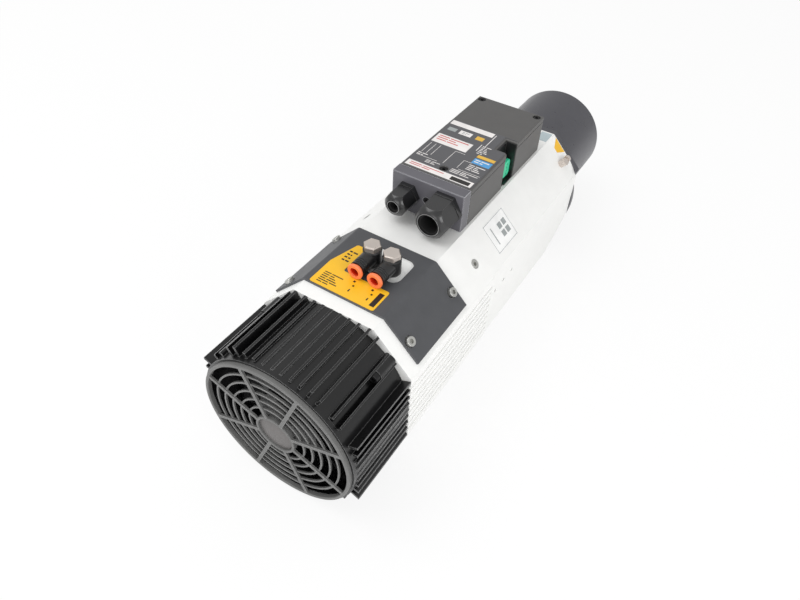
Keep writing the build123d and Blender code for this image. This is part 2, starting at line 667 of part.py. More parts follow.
with BuildPart() as fan_guard:
    disc(GUARD_REAR, GUARD_FRONT, COWL_CORE_RADIUS - GUARD_STEP, COWL_BORE)
    disc(GUARD_REAR, GUARD_REAR + HUB_RIM_THICKNESS, HUB_RADIUS, HUB_INNER)
    rear_edges = fan_guard.edges().filter_by(GeomType.CIRCLE).group_by(Axis.Y)[0]
    fillet(rear_edges, GUARD_EDGE)
    for index in range(1, GUARD_RINGS + 1):
        middle = HUB_RADIUS + index * RING_STEP
        start = GUARD_REAR + GUARD_SPOKE_THICKNESS
        end = start + GUARD_RING_THICKNESS
        disc(start, end, middle + GUARD_RING_WIDTH / 2, middle - GUARD_RING_WIDTH / 2)
    spoke_length = COWL_BORE - HUB_RADIUS + 1
    with BuildSketch(section(GUARD_REAR + GUARD_SPOKE_THICKNESS + GUARD_SPOKE_DROP)):
        with PolarLocations((COWL_BORE + HUB_RADIUS) / 2, GUARD_SPOKES, GUARD_SPOKE_ANGLE):
            Rectangle(spoke_length, GUARD_SPOKE_WIDTH)
    extrude(amount=GUARD_SPOKE_THICKNESS)
save(fan_guard.part, "fan_guard")

with BuildPart() as guard_hub:
    disc_front = GUARD_REAR + HUB_RIM_THICKNESS
    disc_rear = disc_front - HUB_DISC_THICKNESS - HUB_DOME
    disc(disc_rear, disc_front, HUB_INNER - SEAT_GAP)
    dome_radius = (HUB_INNER**2 + HUB_DOME**2) / (2 * HUB_DOME)
    with Locations((0, disc_rear + dome_radius, AXIS_HEIGHT)):
        Sphere(dome_radius, mode=Mode.INTERSECT)
save(guard_hub.part, "guard_hub")

with BuildPart() as fan_mount:
    disc(FAN_MOTOR_FRONT, FAN_MOUNT_FRONT, FAN_MOTOR_RADIUS + FAN_MOUNT_STEP)
    with BuildSketch(section(FAN_MOUNT_FRONT)):
        with PolarLocations(COWL_BORE / 2, FAN_MOUNT_ARMS, start_angle=22.5):
            Rectangle(COWL_BORE, FAN_ARM_WIDTH)
        Circle(COWL_BORE - SEAT_GAP, mode=Mode.INTERSECT)
    extrude(amount=FAN_MOUNT_THICKNESS)
save(fan_mount.part, "fan_mount")

with BuildPart() as fan_motor:
    disc(FAN_MOTOR_REAR, FAN_MOTOR_FRONT, FAN_MOTOR_RADIUS)
    disc(FAN_MOTOR_REAR, FAN_MOTOR_FRONT, FAN_AXLE_RADIUS + RUNNING_GAP, mode=Mode.SUBTRACT)
save(fan_motor.part, "fan_motor")

with BuildPart() as fan_rotor:
    disc(FAN_HUB_REAR, FAN_HUB_FRONT, FAN_HUB_RADIUS)
    hub_inside = FAN_HUB_RADIUS - FAN_HUB_WALL
    disc(FAN_HUB_REAR + FAN_HUB_WALL, FAN_HUB_FRONT, hub_inside, mode=Mode.SUBTRACT)
    disc(FAN_HUB_REAR, FAN_MOTOR_FRONT - MOVING_GAP, FAN_AXLE_RADIUS)
    hub_middle = (FAN_HUB_REAR + FAN_HUB_FRONT) / 2
    for index in range(FAN_BLADES):
        turn = index * 360 / FAN_BLADES
        outward = Vector(sin(radians(turn)), 0, cos(radians(turn)))
        sideways = Vector(cos(radians(turn)), 0, -sin(radians(turn)))
        blade = []
        for radius, pitch, length in (
            (FAN_HUB_RADIUS - FAN_HUB_WALL / 2, FAN_ROOT_PITCH, FAN_BLADE_CHORD * FAN_ROOT_SHARE),
            (FAN_TIP_RADIUS, FAN_TIP_PITCH, FAN_BLADE_CHORD),
        ):
            chord = sideways * cos(radians(pitch)) + Vector(0, 1, 0) * sin(radians(pitch))
            origin = Vector(0, hub_middle, AXIS_HEIGHT) + outward * radius
            with BuildSketch(Plane(origin=origin, x_dir=chord, z_dir=outward)) as profile:
                SlotOverall(length, FAN_BLADE_THICKNESS)
            blade.append(profile.sketch.faces()[0])
        loft(blade)
save(fan_rotor.part, "fan_rotor")


# --------------------------------------------------------------------------------------
# Port plate, and the screws of the bevels: four for the plate and two spare ones
# --------------------------------------------------------------------------------------
PLATE_REAR = REAR + PLATE_START
PLATE_FRONT = PLATE_REAR + PLATE_LENGTH
PLATE_END_X = HALF - PLATE_MARGIN * DIAGONAL
PLATE_END_Z = FLAT_HALF + PLATE_MARGIN * DIAGONAL
PLATE_FOLD = FLAT_HALF + PLATE_THICKNESS * tan(radians(22.5))
PLATE_SKIN = PLATE_THICKNESS * DIAGONAL

with BuildPart() as port_plate:
    with BuildSketch(section(PLATE_FRONT)):
        right = [
            (PLATE_END_X, PLATE_END_Z),
            (PLATE_END_X + PLATE_SKIN, PLATE_END_Z + PLATE_SKIN),
            (PLATE_FOLD, HALF + PLATE_THICKNESS),
        ]
        left = [(-x, z) for x, z in reversed(right)]
        with BuildLine():
            Polyline(*right, *left, (-FLAT_HALF, HALF), (FLAT_HALF, HALF), close=True)
        make_face()
    extrude(amount=PLATE_LENGTH)
    folds = port_plate.edges().filter_by(Axis.Y).group_by(Axis.Z)[-1]
    fillet(folds, PLATE_FOLD_RADIUS)
    with BuildSketch(top_plane(PORT_MIDDLE_X, WINDOW_Y, BODY_WIDTH + PLATE_THICKNESS)):
        RectangleRounded(WINDOW_LENGTH, WINDOW_WIDTH, WINDOW_RADIUS)
    extrude(amount=-PLATE_THICKNESS, mode=Mode.SUBTRACT)
    for side in SIDES:
        for y in PLATE_SCREW_Y:
            with Locations(bevel_plane(side, y).offset(PLATE_THICKNESS)):
                Hole(PLATE_SCREW_HOLE, depth=PLATE_THICKNESS)
save(port_plate.part, "port_plate")

bevel_screw = socket_screw(
    M5_RADIUS, M5_HEAD_RADIUS, M5_HEAD, PLATE_SCREW_GRIP - SCREW_END_GAP
)
with BuildPart() as bevel_screws:
    for side in SIDES:
        for y in PLATE_SCREW_Y:
            with Locations(bevel_plane(side, y)):
                add(bevel_screw)
        with Locations(bevel_plane(side, BODY_SCREW_Y).offset(-BODY_SCREW_COUNTERBORE)):
            add(bevel_screw)
save(bevel_screws.part, "bevel_screws")

with BuildPart() as port_label:
    label_y = PLATE_REAR + LABEL_GAP + PORT_LABEL_LENGTH / 2
    label_z = BODY_WIDTH + PLATE_THICKNESS
    label_left = PORT_LABEL_X - PORT_LABEL_WIDTH / 2
    strip_right = PORT_MIDDLE_X - WINDOW_LENGTH / 2 - WINDOW_LIP
    with BuildSketch(top_plane(0, label_y, label_z)) as printed:
        with BuildLine():
            Polyline(
                (label_left, -PORT_LABEL_LENGTH / 2),
                (label_left + PORT_LABEL_WIDTH, -PORT_LABEL_LENGTH / 2),
                (label_left + PORT_LABEL_WIDTH, PORT_LABEL_SHORT - PORT_LABEL_LENGTH / 2),
                (strip_right, PORT_LABEL_SHORT - PORT_LABEL_LENGTH / 2),
                (strip_right, PORT_LABEL_LENGTH / 2),
                (label_left + PORT_LABEL_TAPER, PORT_LABEL_LENGTH / 2),
                (label_left, PORT_LABEL_LENGTH / 2 - PORT_LABEL_TAPER_LENGTH),
                close=True,
            )
        make_face()
        fillet(printed.vertices(), LABEL_ROUND)
    extrude(amount=LABEL_THICKNESS)
save(port_label.part, "port_label")


# --------------------------------------------------------------------------------------
# Push-in elbows: hollow screws, washers, swivelling bodies, release collets
# --------------------------------------------------------------------------------------
WASHER_TOP = BODY_WIDTH + PORT_WASHER_THICKNESS
BANJO_TOP = WASHER_TOP + BANJO_HEIGHT
BOLT_END = BODY_WIDTH - PORT_GRIP + SCREW_END_GAP
TUBE_HEIGHT = WASHER_TOP + SLEEVE_RISE
SLEEVE_END = PORT_Y - ELBOW_LENGTH
COLLET_END = SLEEVE_END - COLLET_TRAVEL - MOVING_GAP - COLLET_FLANGE
COLLET_INNER = SLEEVE_END + COLLET_DEPTH - COLLET_TRAVEL - MOVING_GAP

with BuildPart() as port_washers:
    for x in PORTS_X:
        with BuildSketch(top_plane(x, PORT_Y, BODY_WIDTH)):
            Circle(PORT_WASHER_RADIUS)
            Circle(PORT_BOLT_RADIUS + RUNNING_GAP, mode=Mode.SUBTRACT)
        extrude(amount=PORT_WASHER_THICKNESS)
save(port_washers.part, "port_washers")

with BuildPart() as banjo_screws:
    for x in PORTS_X:
        with BuildSketch(top_plane(x, PORT_Y, BOLT_END)):
            Circle(PORT_BOLT_RADIUS)
        extrude(amount=BANJO_TOP - BOLT_END)
        with BuildSketch(top_plane(x, PORT_Y, BANJO_TOP + RUNNING_GAP)) as hexagon:
            RegularPolygon(BOLT_HEX / 2, 6, major_radius=False, rotation=BOLT_HEX_TURN)
        extrude(hexagon.sketch, amount=BOLT_HEX_HEIGHT)
        with BuildSketch(top_plane(x, PORT_Y, BANJO_TOP)):
            Circle(BOLT_HEX / 2 - BOLT_COLLAR_INSET)
        extrude(amount=RUNNING_GAP)
    chamfer(banjo_screws.edges().group_by(Axis.Z)[-1], EDGE_BREAK)
save(banjo_screws.part, "banjo_screws")


for side_name, x in zip(("left", "right"), PORTS_X):
    with BuildPart() as elbow:
        with BuildSketch(top_plane(x, PORT_Y, WASHER_TOP)):
            Circle(BANJO_RADIUS)
        extrude(amount=BANJO_HEIGHT)
        chamfer(elbow.edges().filter_by(GeomType.CIRCLE), EDGE_BREAK)
        with BuildSketch(upright(x, PORT_Y, TUBE_HEIGHT)):
            Circle(ELBOW_RADIUS)
        extrude(amount=ELBOW_LENGTH)
        for step in range(ELBOW_RIBS):
            rib_y = SLEEVE_END + ELBOW_RIB_START - step * ELBOW_RIB_PITCH
            with BuildSketch(upright(x, rib_y, TUBE_HEIGHT)):
                Circle(ELBOW_RADIUS + ELBOW_RIB_DEPTH)
                Circle(ELBOW_RADIUS - ELBOW_RIB_DEPTH, mode=Mode.SUBTRACT)
            extrude(amount=ELBOW_RIB_WIDTH, mode=Mode.SUBTRACT)
        with BuildSketch(top_plane(x, PORT_Y, WASHER_TOP)):
            Circle(PORT_BOLT_RADIUS + RUNNING_GAP)
        extrude(amount=BANJO_HEIGHT, mode=Mode.SUBTRACT)
        with BuildSketch(upright(x, SLEEVE_END + TUBE_DEPTH, TUBE_HEIGHT)):
            Circle(TUBE_RADIUS)
        extrude(amount=TUBE_DEPTH, mode=Mode.SUBTRACT)
        with BuildSketch(upright(x, SLEEVE_END + COLLET_DEPTH, TUBE_HEIGHT)):
            Circle(COLLET_RADIUS + RUNNING_GAP)
        extrude(amount=COLLET_DEPTH, mode=Mode.SUBTRACT)
        with BuildSketch(upright(x, PORT_Y - PORT_BOLT_RADIUS, TUBE_HEIGHT)):
            Circle(PORT_PASSAGE)
        extrude(amount=ELBOW_LENGTH - TUBE_DEPTH, mode=Mode.SUBTRACT)
    save(elbow.part, f"elbow_{side_name}")

    with BuildPart() as collet:
        with BuildSketch(upright(x, COLLET_INNER, TUBE_HEIGHT)):
            Circle(COLLET_RADIUS)
        extrude(amount=COLLET_DEPTH)
        with BuildSketch(upright(x, COLLET_END + COLLET_FLANGE, TUBE_HEIGHT)):
            Circle(COLLET_FLANGE_RADIUS)
        extrude(amount=COLLET_FLANGE)
        chamfer(collet.edges().filter_by(GeomType.CIRCLE).group_by(Axis.Y)[0], EDGE_BREAK)
        with BuildSketch(upright(x, SLEEVE_END + COLLET_DEPTH, TUBE_HEIGHT)):
            Circle(TUBE_RADIUS)
        extrude(amount=2 * COLLET_DEPTH, mode=Mode.SUBTRACT)
    save(collet.part, f"collet_{side_name}")


# --------------------------------------------------------------------------------------
# Terminal box: end cap with glands, base with the connector bay, gasket, cover
# --------------------------------------------------------------------------------------
BOX_HALF = BOX_WIDTH / 2
BAY_REAR = BOX_JOINT + BAY_START
BAY_FRONT = BAY_REAR + BAY_LENGTH
BAY_WALL_X = BOX_HALF - BAY_DEPTH
BOX_POSTS = [
    (0, BOX_JOINT + REAR_POST_INSET),
    (-BOX_HALF + BOX_SCREW_INSET, BOX_FRONT - BOX_SCREW_INSET),
    (BOX_HALF - BOX_SCREW_INSET, BOX_FRONT - BOX_SCREW_INSET),
]


def box_outline(inset=0.0, mode=Mode.ADD):
    """Plan of the box, with the bay cut into its right side, moved inwards by inset."""
    edge = BOX_HALF - inset
    rear = BOX_JOINT + inset
    front = BOX_FRONT - inset
    bay = BAY_WALL_X - inset
    with BuildLine() as line:
        Polyline(
            (-edge, rear),
            (edge, rear),
            (edge, BAY_REAR - inset),
            (bay, BAY_REAR - inset),
            (bay, BAY_FRONT + inset),
            (edge, BAY_FRONT + inset),
            (edge, front),
            (-edge, front),
            close=True,
        )
    make_face(line.edges(), mode=mode)


def box_posts():
    """Screw posts of the box; the rear one stands on a rib from the wall.  Open sketch."""
    for post in BOX_POSTS:
        with Locations(post):
            Circle(BOX_POST)
    with Locations((0, BOX_JOINT + REAR_POST_INSET / 2)):
        Rectangle(2 * BOX_POST, REAR_POST_INSET)


with BuildPart() as terminal_box:
    with BuildSketch(Plane.XY.offset(BODY_WIDTH)):
        box_outline()
        box_outline(BOX_WALL, mode=Mode.SUBTRACT)
        box_posts()
    extrude(amount=BOX_RIM - BODY_WIDTH)
    with BuildSketch(Plane.XY.offset(BODY_WIDTH)):
        box_outline()
    extrude(amount=BOX_WALL)
    bay_corner = terminal_box.edges().filter_by(Axis.Z)
    bay_corner = bay_corner.filter_by_position(Axis.Y, BAY_REAR - 0.1, BAY_REAR + 0.1)
    fillet(bay_corner.sort_by(Axis.X)[-1], BAY_ROUND)
    with BuildSketch(Plane.XY.offset(BOX_RIM)):
        with Locations(*BOX_POSTS):
            Circle(M4_RADIUS + SEAT_GAP)
    extrude(amount=-BOX_SCREW_GRIP, mode=Mode.SUBTRACT)
    with Locations(top_plane(0, DUCT_Y, BODY_WIDTH + BOX_WALL)):
        Hole(CABLE_DUCT_RADIUS, depth=BOX_WALL)
    for x, hexagon in ((SMALL_GLAND_X, SMALL_GLAND_HEX), (LARGE_GLAND_X, LARGE_GLAND_HEX)):
        with BuildSketch(upright(x, BOX_JOINT + BOX_WALL, GLAND_HEIGHT)):
            Circle(hexagon / 2 - GLAND_SHOULDER + SCREW_GAP)
        extrude(amount=BOX_WALL, mode=Mode.SUBTRACT)
    with BuildSketch(upright(0, BOX_JOINT + CAP_SCREW_GRIP, GLAND_HEIGHT)):
        Circle(M4_RADIUS + SEAT_GAP)
    extrude(amount=CAP_SCREW_GRIP, mode=Mode.SUBTRACT)
save(terminal_box.part, "terminal_box")


def box_screw_holes(radius, depth, top):
    """Screw holes over the posts of the box, cut downwards from a height."""
    with BuildSketch(Plane.XY.offset(top)) as holes:
        with Locations(*BOX_POSTS):
            Circle(radius)
    extrude(holes.sketch, amount=-depth, mode=Mode.SUBTRACT)


with BuildPart() as box_gasket:
    with BuildSketch(Plane.XY.offset(BOX_RIM)):
        box_outline(GASKET_INSET)
        box_outline(BOX_WALL, mode=Mode.SUBTRACT)
        box_posts()
    extrude(amount=BOX_GASKET)
    box_screw_holes(M4_RADIUS + SCREW_GAP, BOX_GASKET, BOX_RIM + BOX_GASKET)
    with BuildSketch(upright(0, BOX_JOINT, BODY_WIDTH + BOX_HEIGHT / 2)) as end_gasket:
        Rectangle(BOX_WIDTH - 2 * GASKET_INSET, BOX_HEIGHT - 2 * GASKET_INSET)
        with Locations((0, GLAND_RISE - BOX_HEIGHT / 2)):
            Circle(M4_RADIUS + SCREW_GAP, mode=Mode.SUBTRACT)
        for x, hexagon in ((SMALL_GLAND_X, SMALL_GLAND_HEX), (LARGE_GLAND_X, LARGE_GLAND_HEX)):
            with Locations((x, GLAND_RISE - BOX_HEIGHT / 2)):
                Circle(hexagon / 2 - GLAND_SHOULDER + SCREW_GAP, mode=Mode.SUBTRACT)
    extrude(end_gasket.sketch, amount=BOX_GASKET)
save(box_gasket.part, "box_gasket")

with BuildPart() as box_cover:
    with BuildSketch(Plane.XY.offset(BOX_TOP - BOX_COVER)):
        box_outline()
    extrude(amount=BOX_COVER)
    bay_corner = box_cover.edges().filter_by(Axis.Z)
    bay_corner = bay_corner.filter_by_position(Axis.Y, BAY_REAR - 0.1, BAY_REAR + 0.1)
    fillet(bay_corner.sort_by(Axis.X)[-1], BAY_ROUND)
    fillet(box_cover.edges().group_by(Axis.Z)[-1], COVER_EDGE)
    box_screw_holes(M4_RADIUS + SCREW_GAP, BOX_COVER, BOX_TOP)
    box_screw_holes(M4_HEAD_RADIUS + 2 * SCREW_GAP, COVER_RECESS, BOX_TOP)
save(box_cover.part, "box_cover")

with BuildPart() as gland_end_cap:
    with BuildSketch(upright(0, BOX_JOINT - BOX_GASKET, BODY_WIDTH + BOX_HEIGHT / 2)):
        Rectangle(BOX_WIDTH, BOX_HEIGHT)
    extrude(amount=CAP_THICKNESS - BOX_GASKET)
    rear_edges = gland_end_cap.edges().group_by(Axis.Y)[0]
    fillet(rear_edges.sort_by(Axis.Z)[1:], CAP_EDGE)
    for x, hexagon in ((SMALL_GLAND_X, SMALL_GLAND_HEX), (LARGE_GLAND_X, LARGE_GLAND_HEX)):
        with BuildSketch(upright(x, BOX_JOINT, GLAND_HEIGHT)):
            Circle(hexagon / 2 - GLAND_SHOULDER + SEAT_GAP)
        extrude(amount=CAP_THICKNESS, mode=Mode.SUBTRACT)
    with BuildSketch(upright(0, BOX_JOINT, GLAND_HEIGHT)):
        Circle(M4_RADIUS + SCREW_GAP)
    extrude(amount=CAP_THICKNESS, mode=Mode.SUBTRACT)
    with BuildSketch(upright(0, BOX_REAR + COVER_RECESS, GLAND_HEIGHT)):
        Circle(M4_HEAD_RADIUS + SCREW_GAP)
    extrude(amount=COVER_RECESS, mode=Mode.SUBTRACT)
save(gland_end_cap.part, "gland_end_cap")

LOW_HEAD = COVER_RECESS - LOW_HEAD_DROP
COVER_GRIP = BOX_COVER - COVER_RECESS + BOX_GASKET + BOX_SCREW_GRIP - SCREW_END_GAP
CAP_GRIP = CAP_THICKNESS - COVER_RECESS + CAP_SCREW_GRIP - SCREW_END_GAP
cover_screw = socket_screw(M4_RADIUS, M4_HEAD_RADIUS, LOW_HEAD, COVER_GRIP)
cap_screw = socket_screw(M4_RADIUS, M4_HEAD_RADIUS, LOW_HEAD, CAP_GRIP)
with BuildPart() as box_screws:
    for x, y in BOX_POSTS:
        with Locations(top_plane(x, y, BOX_TOP - COVER_RECESS)):
            add(cover_screw)
    with Locations(upright(0, BOX_REAR + COVER_RECESS, GLAND_HEIGHT)):
        add(cap_screw)
save(box_screws.part, "box_screws")

with BuildPart() as terminal_block:
    block_y = BAY_FRONT + BOX_WALL + TERMINAL_DEPTH
    block_length = TERMINAL_POLES * TERMINAL_PITCH
    with BuildSketch(top_plane(TERMINAL_X, block_y, BODY_WIDTH + BOX_WALL)):
        Rectangle(block_length, TERMINAL_DEPTH)
    extrude(amount=TERMINAL_HEIGHT)
    with BuildSketch(top_plane(TERMINAL_X, block_y, BODY_WIDTH + BOX_WALL + TERMINAL_HEIGHT)):
        with GridLocations(TERMINAL_PITCH, 0, TERMINAL_POLES, 1):
            Circle(TERMINAL_SCREW)
    extrude(amount=-TERMINAL_HEIGHT * TERMINAL_WELL_SHARE, mode=Mode.SUBTRACT)
save(terminal_block.part, "terminal_block")

SOCKET_Y = BAY_FRONT - SOCKET_WALL - SOCKET_LENGTH / 2
with BuildPart() as signal_socket:
    # lining of the bay: floor, inner wall and both end walls
    with BuildSketch(Plane.XY.offset(BODY_WIDTH)):
        with Locations((BAY_WALL_X, BAY_REAR)):
            Rectangle(BAY_DEPTH - SOCKET_WALL, BAY_LENGTH, align=Align.MIN)
        with Locations((BAY_WALL_X, BAY_REAR + BAY_ROUND)):
            Rectangle(BAY_DEPTH, BAY_LENGTH - BAY_ROUND, align=Align.MIN)
    extrude(amount=SOCKET_WALL)
    with BuildSketch(Plane.XY.offset(BODY_WIDTH)):
        with Locations((BAY_WALL_X, BAY_REAR)):
            Rectangle(SOCKET_WALL, BAY_LENGTH, align=Align.MIN)
            Rectangle(BAY_DEPTH - BAY_ROUND, SOCKET_WALL, align=Align.MIN)
        with Locations((BAY_WALL_X, BAY_FRONT - SOCKET_WALL)):
            Rectangle(BAY_DEPTH - EDGE_BREAK, SOCKET_WALL, align=Align.MIN)
    extrude(amount=BOX_HEIGHT - SOCKET_DROP)
    # contact block that the plug goes on
    with BuildSketch(Plane.XY.offset(BODY_WIDTH + SOCKET_RISE)):
        with Locations((BAY_WALL_X, SOCKET_Y - SOCKET_LENGTH / 2)):
            Rectangle(SOCKET_DEPTH, SOCKET_LENGTH, align=Align.MIN)
    extrude(amount=SOCKET_HEIGHT)
save(signal_socket.part, "signal_socket")

PLUG_X = BAY_WALL_X + SOCKET_DEPTH
with BuildPart() as signal_plug:
    plug_origin = (PLUG_X, SOCKET_Y, BODY_WIDTH + SOCKET_RISE + SOCKET_HEIGHT / 2)
    plug_plane = Plane(origin=plug_origin, x_dir=(0, 1, 0), z_dir=(1, 0, 0))
    with BuildSketch(plug_plane):
        RectangleRounded(PLUG_LENGTH, PLUG_HEIGHT, PLUG_ROUND)
    extrude(amount=PLUG_DEPTH)
    fillet(signal_plug.edges().group_by(Axis.X)[-1], PLUG_EDGE)
    with BuildSketch(plug_plane.offset(PLUG_DEPTH)):
        with GridLocations(0, PLUG_HEIGHT / (PLUG_POLES + 1), 1, PLUG_POLES):
            Circle(PLUG_HOLE)
    extrude(amount=-PLUG_DEPTH / 2, mode=Mode.SUBTRACT)
save(signal_plug.part, "signal_plug")

# offset, hexagon across flats, cable radius and length of every gland
GLANDS = [
    (SMALL_GLAND_X, SMALL_GLAND_HEX, SMALL_GLAND_CABLE, SMALL_GLAND_LENGTH),
    (LARGE_GLAND_X, LARGE_GLAND_HEX, LARGE_GLAND_CABLE, LARGE_GLAND_LENGTH),
]
GLAND_NUT_FRONT = BOX_REAR - GLAND_FLANGE - SCREW_GAP


def gland_body_end(length):
    """Rear end of a gland's threaded body, inside its nut."""
    return GLAND_NUT_FRONT - (length - GLAND_FLANGE - SCREW_GAP) * GLAND_THREAD_SHARE


def gland_body(x, hexagon, cable, length):
    """Threaded body of a gland, with its hexagon against the end cap."""
    front = BOX_JOINT + BOX_WALL
    reach = front - gland_body_end(length)
    with BuildPart() as body:
        with BuildSketch(upright(x, BOX_REAR, GLAND_HEIGHT)):
            RegularPolygon(hexagon / 2, 6, major_radius=False)
        extrude(amount=GLAND_FLANGE)
        with BuildSketch(upright(x, front, GLAND_HEIGHT)):
            Circle(hexagon / 2 - GLAND_SHOULDER)
        extrude(amount=reach)
        with BuildSketch(upright(x, front, GLAND_HEIGHT)):
            Circle(cable + GLAND_SEAL_WALL)
        extrude(amount=reach, mode=Mode.SUBTRACT)
    return body.part


def gland_nut(x, hexagon, cable, length):
    """Domed clamping nut of a gland."""
    tip = BOX_REAR - length
    tip_radius = cable + GLAND_TIP
    corner = (hexagon / 2 - GLAND_NUT_STEP) / cos(radians(30))
    round_start = GLAND_NUT_FRONT - (GLAND_NUT_FRONT - tip) * GLAND_HEX_SHARE
    with BuildPart() as nut:
        with BuildSketch(Plane(origin=(x, 0, GLAND_HEIGHT))) as profile:
            with BuildLine():
                Polyline((0, tip), (0, GLAND_NUT_FRONT), (corner, GLAND_NUT_FRONT))
                Line((corner, GLAND_NUT_FRONT), (corner, round_start))
                bulge = ((corner * 2 + tip_radius) / 3 + GLAND_BULGE, (round_start + tip * 2) / 3)
                ThreePointArc((corner, round_start), bulge, (tip_radius, tip))
                Line((tip_radius, tip), (0, tip))
            make_face()
        revolve(axis=Axis((x, 0, GLAND_HEIGHT), (0, 1, 0)))
        with BuildSketch(upright(x, GLAND_NUT_FRONT, GLAND_HEIGHT)):
            RegularPolygon(hexagon / 2 - GLAND_NUT_STEP, 6, major_radius=False)
        extrude(amount=GLAND_NUT_FRONT - tip, mode=Mode.INTERSECT)
        with BuildSketch(upright(x, GLAND_NUT_FRONT, GLAND_HEIGHT)):
            Circle(hexagon / 2 - GLAND_SHOULDER + RUNNING_GAP)
        extrude(amount=GLAND_NUT_FRONT - gland_body_end(length) + SCREW_GAP, mode=Mode.SUBTRACT)
        with BuildSketch(upright(x, GLAND_NUT_FRONT, GLAND_HEIGHT)):
            Circle(cable + GLAND_SEAL_WALL)
        extrude(amount=GLAND_NUT_FRONT - tip, mode=Mode.SUBTRACT)
    return nut.part


with BuildPart() as gland_bodies:
    for gland in GLANDS:
        add(gland_body(*gland))
save(gland_bodies.part, "gland_bodies")

with BuildPart() as gland_nuts:
    for gland in GLANDS:
        add(gland_nut(*gland))
save(gland_nuts.part, "gland_nuts")

with BuildPart() as gland_seals:
    for x, hexagon, cable, length in GLANDS:
        with BuildSketch(upright(x, BOX_REAR, GLAND_HEIGHT)):
            Circle(cable + GLAND_SEAL_WALL)
            Circle(cable, mode=Mode.SUBTRACT)
        extrude(amount=length - GLAND_SEAL_INSET)
save(gland_seals.part, "gland_seals")

with BuildPart() as box_label:
    label_y = BOX_JOINT + BOX_LABEL_START + BOX_LABEL_LENGTH / 2
    with BuildSketch(top_plane(0, label_y, BOX_TOP)):
        RectangleRounded(BOX_WIDTH - 2 * BOX_LABEL_MARGIN, BOX_LABEL_LENGTH, LABEL_ROUND)
        with Locations((0, BOX_POSTS[0][1] - label_y)):
            Circle(M4_HEAD_RADIUS + SCREW_MARGIN, mode=Mode.SUBTRACT)
        with Locations((BOX_HALF, (BAY_REAR + BAY_FRONT) / 2 - label_y)):
            Rectangle(
                2 * (BAY_DEPTH + BAY_MARGIN), BAY_LENGTH + 2 * BAY_MARGIN, mode=Mode.SUBTRACT
            )
    extrude(amount=LABEL_THICKNESS)
save(box_label.part, "box_label")

with BuildPart() as purge_fitting:
    stem_plane = bevel_plane(1, FITTING_Y)
    with BuildSketch(stem_plane.offset(SCREW_END_GAP - FITTING_GRIP)):
        Circle(FITTING_SPIGOT)
    extrude(amount=FITTING_GRIP)
    with BuildSketch(stem_plane):
        RegularPolygon(FITTING_HEX / 2, 6, major_radius=False)
    extrude(amount=FITTING_HEIGHT)
    nipple_start = stem_plane.offset(FITTING_RISE).origin
    nipple_plane = Plane(origin=nipple_start, x_dir=(1, 0, 0), z_dir=(0, 1, 0))
    with BuildSketch(nipple_plane):
        Circle(FITTING_RADIUS)
    extrude(amount=FITTING_LENGTH)
save(purge_fitting.part, "purge_fitting")

with BuildPart() as purge_cap:
    collar_start = FITTING_LENGTH + FITTING_CAP_END - FITTING_COLLAR_LENGTH
    with BuildSketch(nipple_plane.offset(collar_start)):
        Circle(FITTING_COLLAR)
        Circle(FITTING_RADIUS + SEAT_GAP, mode=Mode.SUBTRACT)
    extrude(amount=FITTING_COLLAR_LENGTH)
    end_circles = purge_cap.edges().filter_by(GeomType.CIRCLE).group_by(Axis.Y)[-1]
    chamfer(end_circles.sort_by(SortBy.RADIUS)[-1], EDGE_BREAK)
    with BuildSketch(nipple_plane.offset(FITTING_LENGTH)):
        Circle(FITTING_RADIUS + SEAT_GAP)
    extrude(amount=FITTING_CAP_END)
save(purge_cap.part, "purge_cap")


# --------------------------------------------------------------------------------------
# Nose: flanged housing with its pilot, and the front cap over the bearings
# --------------------------------------------------------------------------------------
FLANGE_FRONT = FRONT + FLANGE_THICKNESS
CAP_BORE = SHAFT_FLANGE_RADIUS + MOVING_GAP

with BuildSketch(section(FLANGE_FRONT)) as flange_limit:
    Circle(FRONT_TURN_RADIUS)
    with Locations((0, HALF / 2 + BEVEL_MIDDLE)):
        Rectangle(2 * BEVEL_MIDDLE, HALF)

with BuildPart() as nose_housing:
    with BuildSketch(section(FLANGE_FRONT)):
        octagon()
        with Locations((0, HALF / 2)):
            Rectangle(BODY_WIDTH, HALF, mode=Mode.INTERSECT)
        add(flange_limit.sketch, mode=Mode.INTERSECT)
        Circle(HALF)
    extrude(amount=FLANGE_THICKNESS)
    disc(FRONT - PILOT_LENGTH, FRONT, BODY_BORE - SEAT_GAP)
    disc(FLANGE_FRONT, NOSE_JOINT, NOSE_RADIUS)
    disc(FRONT - PILOT_LENGTH, NOSE_JOINT, NOSE_BORE, mode=Mode.SUBTRACT)
    disc(BEARINGS_START, NOSE_JOINT, FRONT_BEARING_RADIUS + SEAT_GAP, mode=Mode.SUBTRACT)
    with BuildSketch(section(FLANGE_FRONT)):
        with PolarLocations(FLANGE_SCREW_CIRCLE, FLANGE_SCREWS, start_angle=180 / FLANGE_SCREWS):
            Circle(M6_RADIUS + SCREW_GAP)
    extrude(amount=FLANGE_THICKNESS, mode=Mode.SUBTRACT)
    with BuildSketch(section(NOSE_JOINT)):
        with PolarLocations(CAP_SCREW_CIRCLE, CAP_SCREWS):
            Circle(M4_RADIUS + SEAT_GAP)
    extrude(amount=CAP_SCREW_GRIP_DEPTH, mode=Mode.SUBTRACT)
save(nose_housing.part, "nose_housing")

